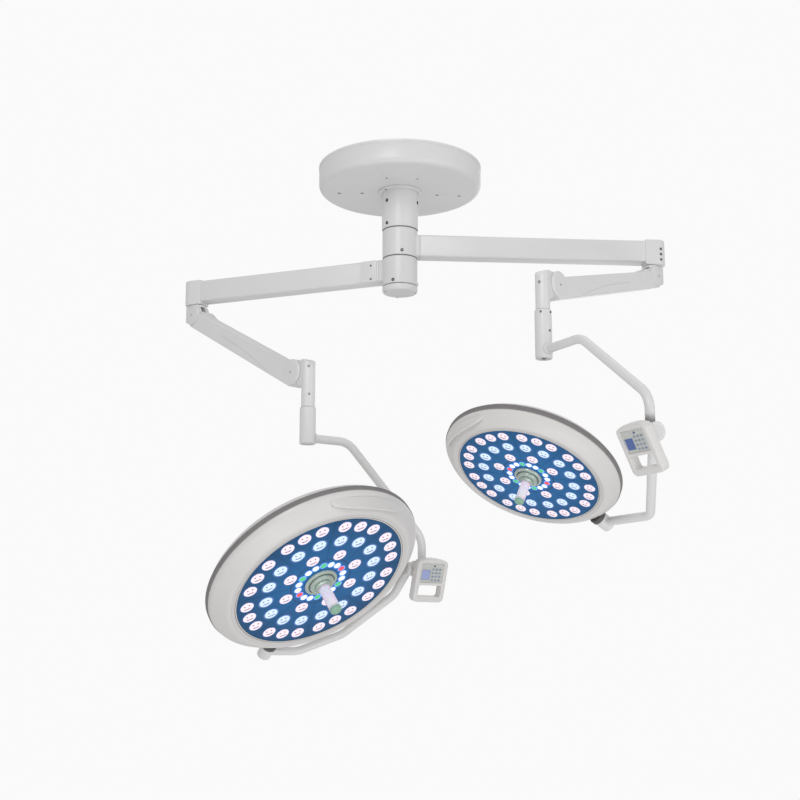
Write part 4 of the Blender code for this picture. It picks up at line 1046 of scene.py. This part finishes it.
def make_light_plate(name, lamp, place):
    make, _ = makers(name, "head", place)
    rim = lamp["head"]
    face = PLATE_LEVEL * rim
    hole = SOCKET_HOLE * rim
    steps = [
        (hole, face), (0.2805 * rim, face), (0.2815 * rim, face + 0.0006), (0.2905 * rim, face + 0.0006),
        (0.2915 * rim, face), (0.7850 * rim, face), (0.7870 * rim, face - 0.0010),
        (0.7995 * rim, face - 0.0010), (0.8000 * rim, face - 0.0004), (0.8000 * rim, face + 0.004),
        (hole, face + 0.004)]
    plate = make("plate_body", turned(steps, WIDE, True), "plate", "light_plate")
    for sector in range(8):
        azimuth = lamp["leds"] + 22.5 + 45 * sector
        seam = block((0.300 * rim, -0.0005, -0.0010), (0.780 * rim, 0.0005, 0.0007))
        moved(seam, Matrix.Translation((0, 0, face)) @ Matrix.Rotation(radians(azimuth), 4, "Z"))
        combine(plate, seam)
    ring = rounded(ring_section(0.7880 * rim, 0.7985 * rim, face - 0.0012, face - 0.0006))
    make("plate_edge", turned(ring, WIDE, True), "cream", slot="plate")
    ring = ring_section(0.2820 * rim, 0.2900 * rim, face + 0.0001, face + 0.0007)
    make("plate_line", turned(ring, WIDE, True), "line", slot="plate")

    outer = 0.688 * rim
    size = 0.061 * rim
    groups = {"warm": [], "cool": []}
    for sector in range(8):
        base = lamp["leds"] + 45 * sector
        groups["warm"] += [(outer, base + spread, "outer") for spread in (-13.6, 0, 13.6)]
        groups["warm"].append((0.489 * outer, base, "inner"))
        groups["cool"] += [(0.748 * outer, base + spread, "middle") for spread in (-11.3, 11.3)]
    seats, chips, tabs = bmesh.new(), bmesh.new(), bmesh.new()
    for kind, places in groups.items():
        lenses = bmesh.new()
        for radius, azimuth, ring_name in places:
            spot = lens_frame(radius, azimuth, face, lamp["marks"])
            lens = rounded([
                (0, 0.0016), (size * 0.86, 0.0016, 0.0008), (size * 0.96, 0.0009, 0.0004), (size, 0.0000),
                (size, -0.0006), (0, -0.0006)])
            add_copy(lenses, turned(lens, 40), spot)
            width = 0.018 if kind == "cool" else 0.008
            seat = rounded([
                (size * 0.99, -0.0006), (size + width * rim * 0.7, -0.0006),
                (size + width * rim * 0.7, 0.0003, 0.0002), (size * 0.99, 0.0006)])
            add_copy(seats, turned(seat, 40, True), spot)
            for side in (-1, 1):
                dot = rounded([
                    (0, 0.0019), (size * 0.13, 0.0019, 0.0002), (size * 0.13, 0.0014), (0, 0.0014)])
                shift = Matrix.Translation((size * 0.34, side * size * 0.36, 0))
                add_copy(chips, turned(dot, 12), spot @ shift)
            for chip in range(-2, 3):
                shift = Matrix.Translation((-size * (0.40 - 0.03 * abs(chip)), size * 0.20 * chip, 0))
                tall = size * (0.065 + 0.03 * (chip % 2))
                bit = block((-tall, -size * 0.11, 0.0014), (tall, size * 0.11, 0.00185))
                add_copy(chips, bit, spot @ shift)
            if ring_name == "outer":
                tab = block((size * 1.02, -size * 0.22, -0.0002), (size * 1.16, size * 0.22, 0.0006))
                add_copy(tabs, tab, spot)
        make(f"lenses_{kind}", lenses, kind, slot="plate")
    make("lens_seats", seats, "seat", slot="plate")
    make("lens_chips", chips, "chip", slot="plate")
    make("lens_tabs", tabs, "tab", slot="plate")

    small = {"white_led": bmesh.new(), "red_led": bmesh.new(), "green_led": bmesh.new()}
    halo = bmesh.new()
    for index in range(18):
        spot = lens_frame(0.215 * rim, lamp["first"] + 20 * index, face, lamp["marks"])
        kind = (
            "red_led", "white_led", "white_led", "green_led", "white_led", "white_led", "green_led",
            "white_led", "white_led")[index % 9]
        radius = 0.0285 * rim
        bead = [
            (0, 0.0022), (radius * 0.5, 0.0020), (radius * 0.85, 0.0013), (radius, 0.0004),
            (radius, -0.0005), (0, -0.0005)]
        add_copy(small[kind], turned(bead, 28), spot)
        ring = [
            (radius * 1.02, -0.0004), (0.0370 * rim, -0.0004), (0.0370 * rim, 0.0002),
            (radius * 1.02, 0.0006)]
        add_copy(halo, turned(ring, 28, True), spot)
    for kind, shape in small.items():
        make(f"centre_{kind}", shape, kind, slot="plate")
    make("centre_halos", halo, "glow", slot="plate")
    make_handle(name, lamp, place, face)


def make_handle(name, lamp, place, face):
    rim = lamp["head"]
    hole = SOCKET_HOLE * rim
    nose = face - 0.024
    make, _ = makers(name, "head", place)
    socket = rounded([
        (0, face + 0.020), (hole - GAP, face + 0.020), (hole - GAP, face - GAP),
        (0.152 * rim, face - GAP), (0.152 * rim, face - 0.0030, 0.001),
        (0.147 * rim, face - 0.0065, 0.002), (0.126 * rim, face - 0.0085, 0.001),
        (0.124 * rim, face - 0.0060), (0.114 * rim, face - 0.0060), (0.112 * rim, face - 0.0110, 0.0015),
        (0.104 * rim, face - 0.0150, 0.002), (0.084 * rim, face - 0.0170, 0.001),
        (0.082 * rim, face - 0.0150), (0.074 * rim, face - 0.0150), (0.072 * rim, face - 0.0200, 0.001),
        (0.064 * rim, face - 0.0225, 0.001), (0.056 * rim, nose, 0.0005), (0, nose)])
    make("socket_body", turned(socket, WIDE), "socket", "handle_socket")
    # Thin bright beads at the flange's rim and the inner step: painted highlights on the socket metal
    for tag, radius, level in (("outer", 0.1495, -0.0052), ("inner", 0.1085, -0.0132)):
        bead = []
        for turn in range(0, 360, 45):
            out, up = 0.0008 * cos(radians(turn)), 0.0008 * sin(radians(turn))
            bead.append((radius * rim + out, face + level + up))
        make(f"socket_{tag}_ring", turned(bead, WIDE, True), "bright", slot="socket")
    # A dark ring laid on the floor of the socket's groove: painted shade of the groove
    groove_shade = ring_section(0.1225 * rim, 0.1155 * rim, face - 0.0066, face - 0.0058)
    make("socket_groove", turned(groove_shade, WIDE, True), "dark")

    make, _ = makers(name, "handle", place)
    grip, far = 0.0515 * rim, nose - lamp["handle"]
    cap_at = far + 0.013 * rim / 0.338
    tube = rounded([
        (0, nose - GAP), (grip - 0.0012, nose - GAP, 0.0006), (grip, nose - 0.0016, 0.0006),
        (grip, cap_at + 0.0004, 0.0003), (grip - 0.0006, cap_at), (0, cap_at)])
    make("handle_tube", turned(tube, MEDIUM), "handle", "sterile_handle")
    cap = rounded([
        (0, cap_at - GAP), (grip - 0.0004, cap_at - GAP, 0.0003), (grip, cap_at - 0.0014, 0.0006),
        (grip, far + 0.0035, 0.0020), (grip - 0.0035, far, 0.0020), (grip * 0.45, far, 0.0004),
        (grip * 0.42, far + 0.0012), (0, far + 0.0012)])
    make("handle_cap", turned(cap, MEDIUM), "green", slot="handle")
    for tag, level in (("near", nose - 0.0045), ("far", cap_at + 0.0030)):
        ring = [
            (grip - 0.0006, level - 0.0008), (grip + 0.00035, level - 0.0006),
            (grip + 0.00035, level + 0.0006), (grip - 0.0006, level + 0.0008)]
        make(f"handle_{tag}_ring", turned(ring, MEDIUM, True), "pink", slot="handle")


# ---------------------------------------------------------------- stage


FLOOR_LEVEL, FLOOR_HALF = -3.0, 8.0
CAMERA_LENS, CAMERA_PLACE, CAMERA_TILT = 58.6, (0, -4.06, -1.58), 101.2  # tilt from straight down
# Each area light's place, the height on the column that it points at, its diameter and its power
LIGHTS = {
    "key": ((-1.0, -4.2, 1.2), -0.9, 2.0, 36),
    "fill": ((3.0, -2.8, -1.0), -0.8, 3.0, 20),
    "top": ((0.4, 0.6, 2.4), -1.0, 3.0, 14),
    "below": ((0.3, -1.6, -2.9), -0.8, 2.6, 20),
    "back": ((1.2, 4.0, 0.2), -0.9, 3.0, 16),
}


def make_stage():
    floor = bmesh.new()
    bmesh.ops.create_grid(floor, x_segments=24, y_segments=24, size=FLOOR_HALF)
    look = surface("pale_floor", (240, 240, 240), 0.7, 60.0, 0.05, 0.008)
    mesh = bpy.data.meshes.new("floor")
    floor.to_mesh(mesh)
    floor.free()
    mesh.materials.append(look)
    obj = placed("floor", mesh)
    obj.location = (0, 0, FLOOR_LEVEL)

    world = bpy.data.worlds.new("studio")
    bpy.context.scene.world = world
    world.use_nodes = True
    tree = world.node_tree
    tree.nodes.clear()
    backdrop = node(tree, "Background", {"Color": colour(250, 250, 250)}).outputs["Background"]
    dimmed = {"Color": colour(250, 250, 252), "Strength": 0.61}
    ambient = node(tree, "Background", dimmed).outputs["Background"]
    seen = node(tree, "LightPath").outputs["Is Camera Ray"]
    mix = node(tree, "MixShader", {"Fac": seen, 1: ambient, 2: backdrop}).outputs["Shader"]
    node(tree, "OutputWorld", {"Surface": mix})

    for name, (place, target_z, size, power) in LIGHTS.items():
        light = bpy.data.lights.new(name, "AREA")
        light.shape = "DISK"
        light.size = size
        light.energy = power
        obj = placed(name, light)
        obj.location = place
        way = Vector((0, 0, target_z)) - Vector(place)
        obj.rotation_euler = way.to_track_quat("-Z", "Y").to_euler()


def make_camera():
    data = bpy.data.cameras.new("camera")
    data.lens = CAMERA_LENS
    data.sensor_width = 36.0
    camera = placed("camera", data)
    camera.location = CAMERA_PLACE
    camera.rotation_euler = (radians(CAMERA_TILT), 0, 0)
    bpy.context.scene.camera = camera
    bpy.context.scene.view_settings.view_transform = "Standard"


def make_lamp(name, lamp):
    at = frames_of(name, lamp)
    make_extension_arm(name, lamp, at["arm"])
    make_swivel(name, at["swivel"])
    make_spring_arm(name, at["spring"])
    make_front_knuckle(name, lamp, at["front"])
    make_sleeve(name, lamp, at["sleeve"])
    make_upper_bow(name, lamp, at["bow"])
    make_panel(name, lamp, at["panel"])
    make_lower_bow(name, lamp, at["lower"])
    make_head(name, lamp, at["head"])


make_camera()
make_stage()
make_ceiling()
for lamp_name, settings in LAMPS.items():
    make_lamp(lamp_name, settings)

for part in frame["record"]["subparts"]:
    mesh = frame["nodes"][part["node"]].data
    mesh.materials.clear()
    mesh.materials.append(LOOKS[part["material_slot"]])

bpy.context.view_layer.update()
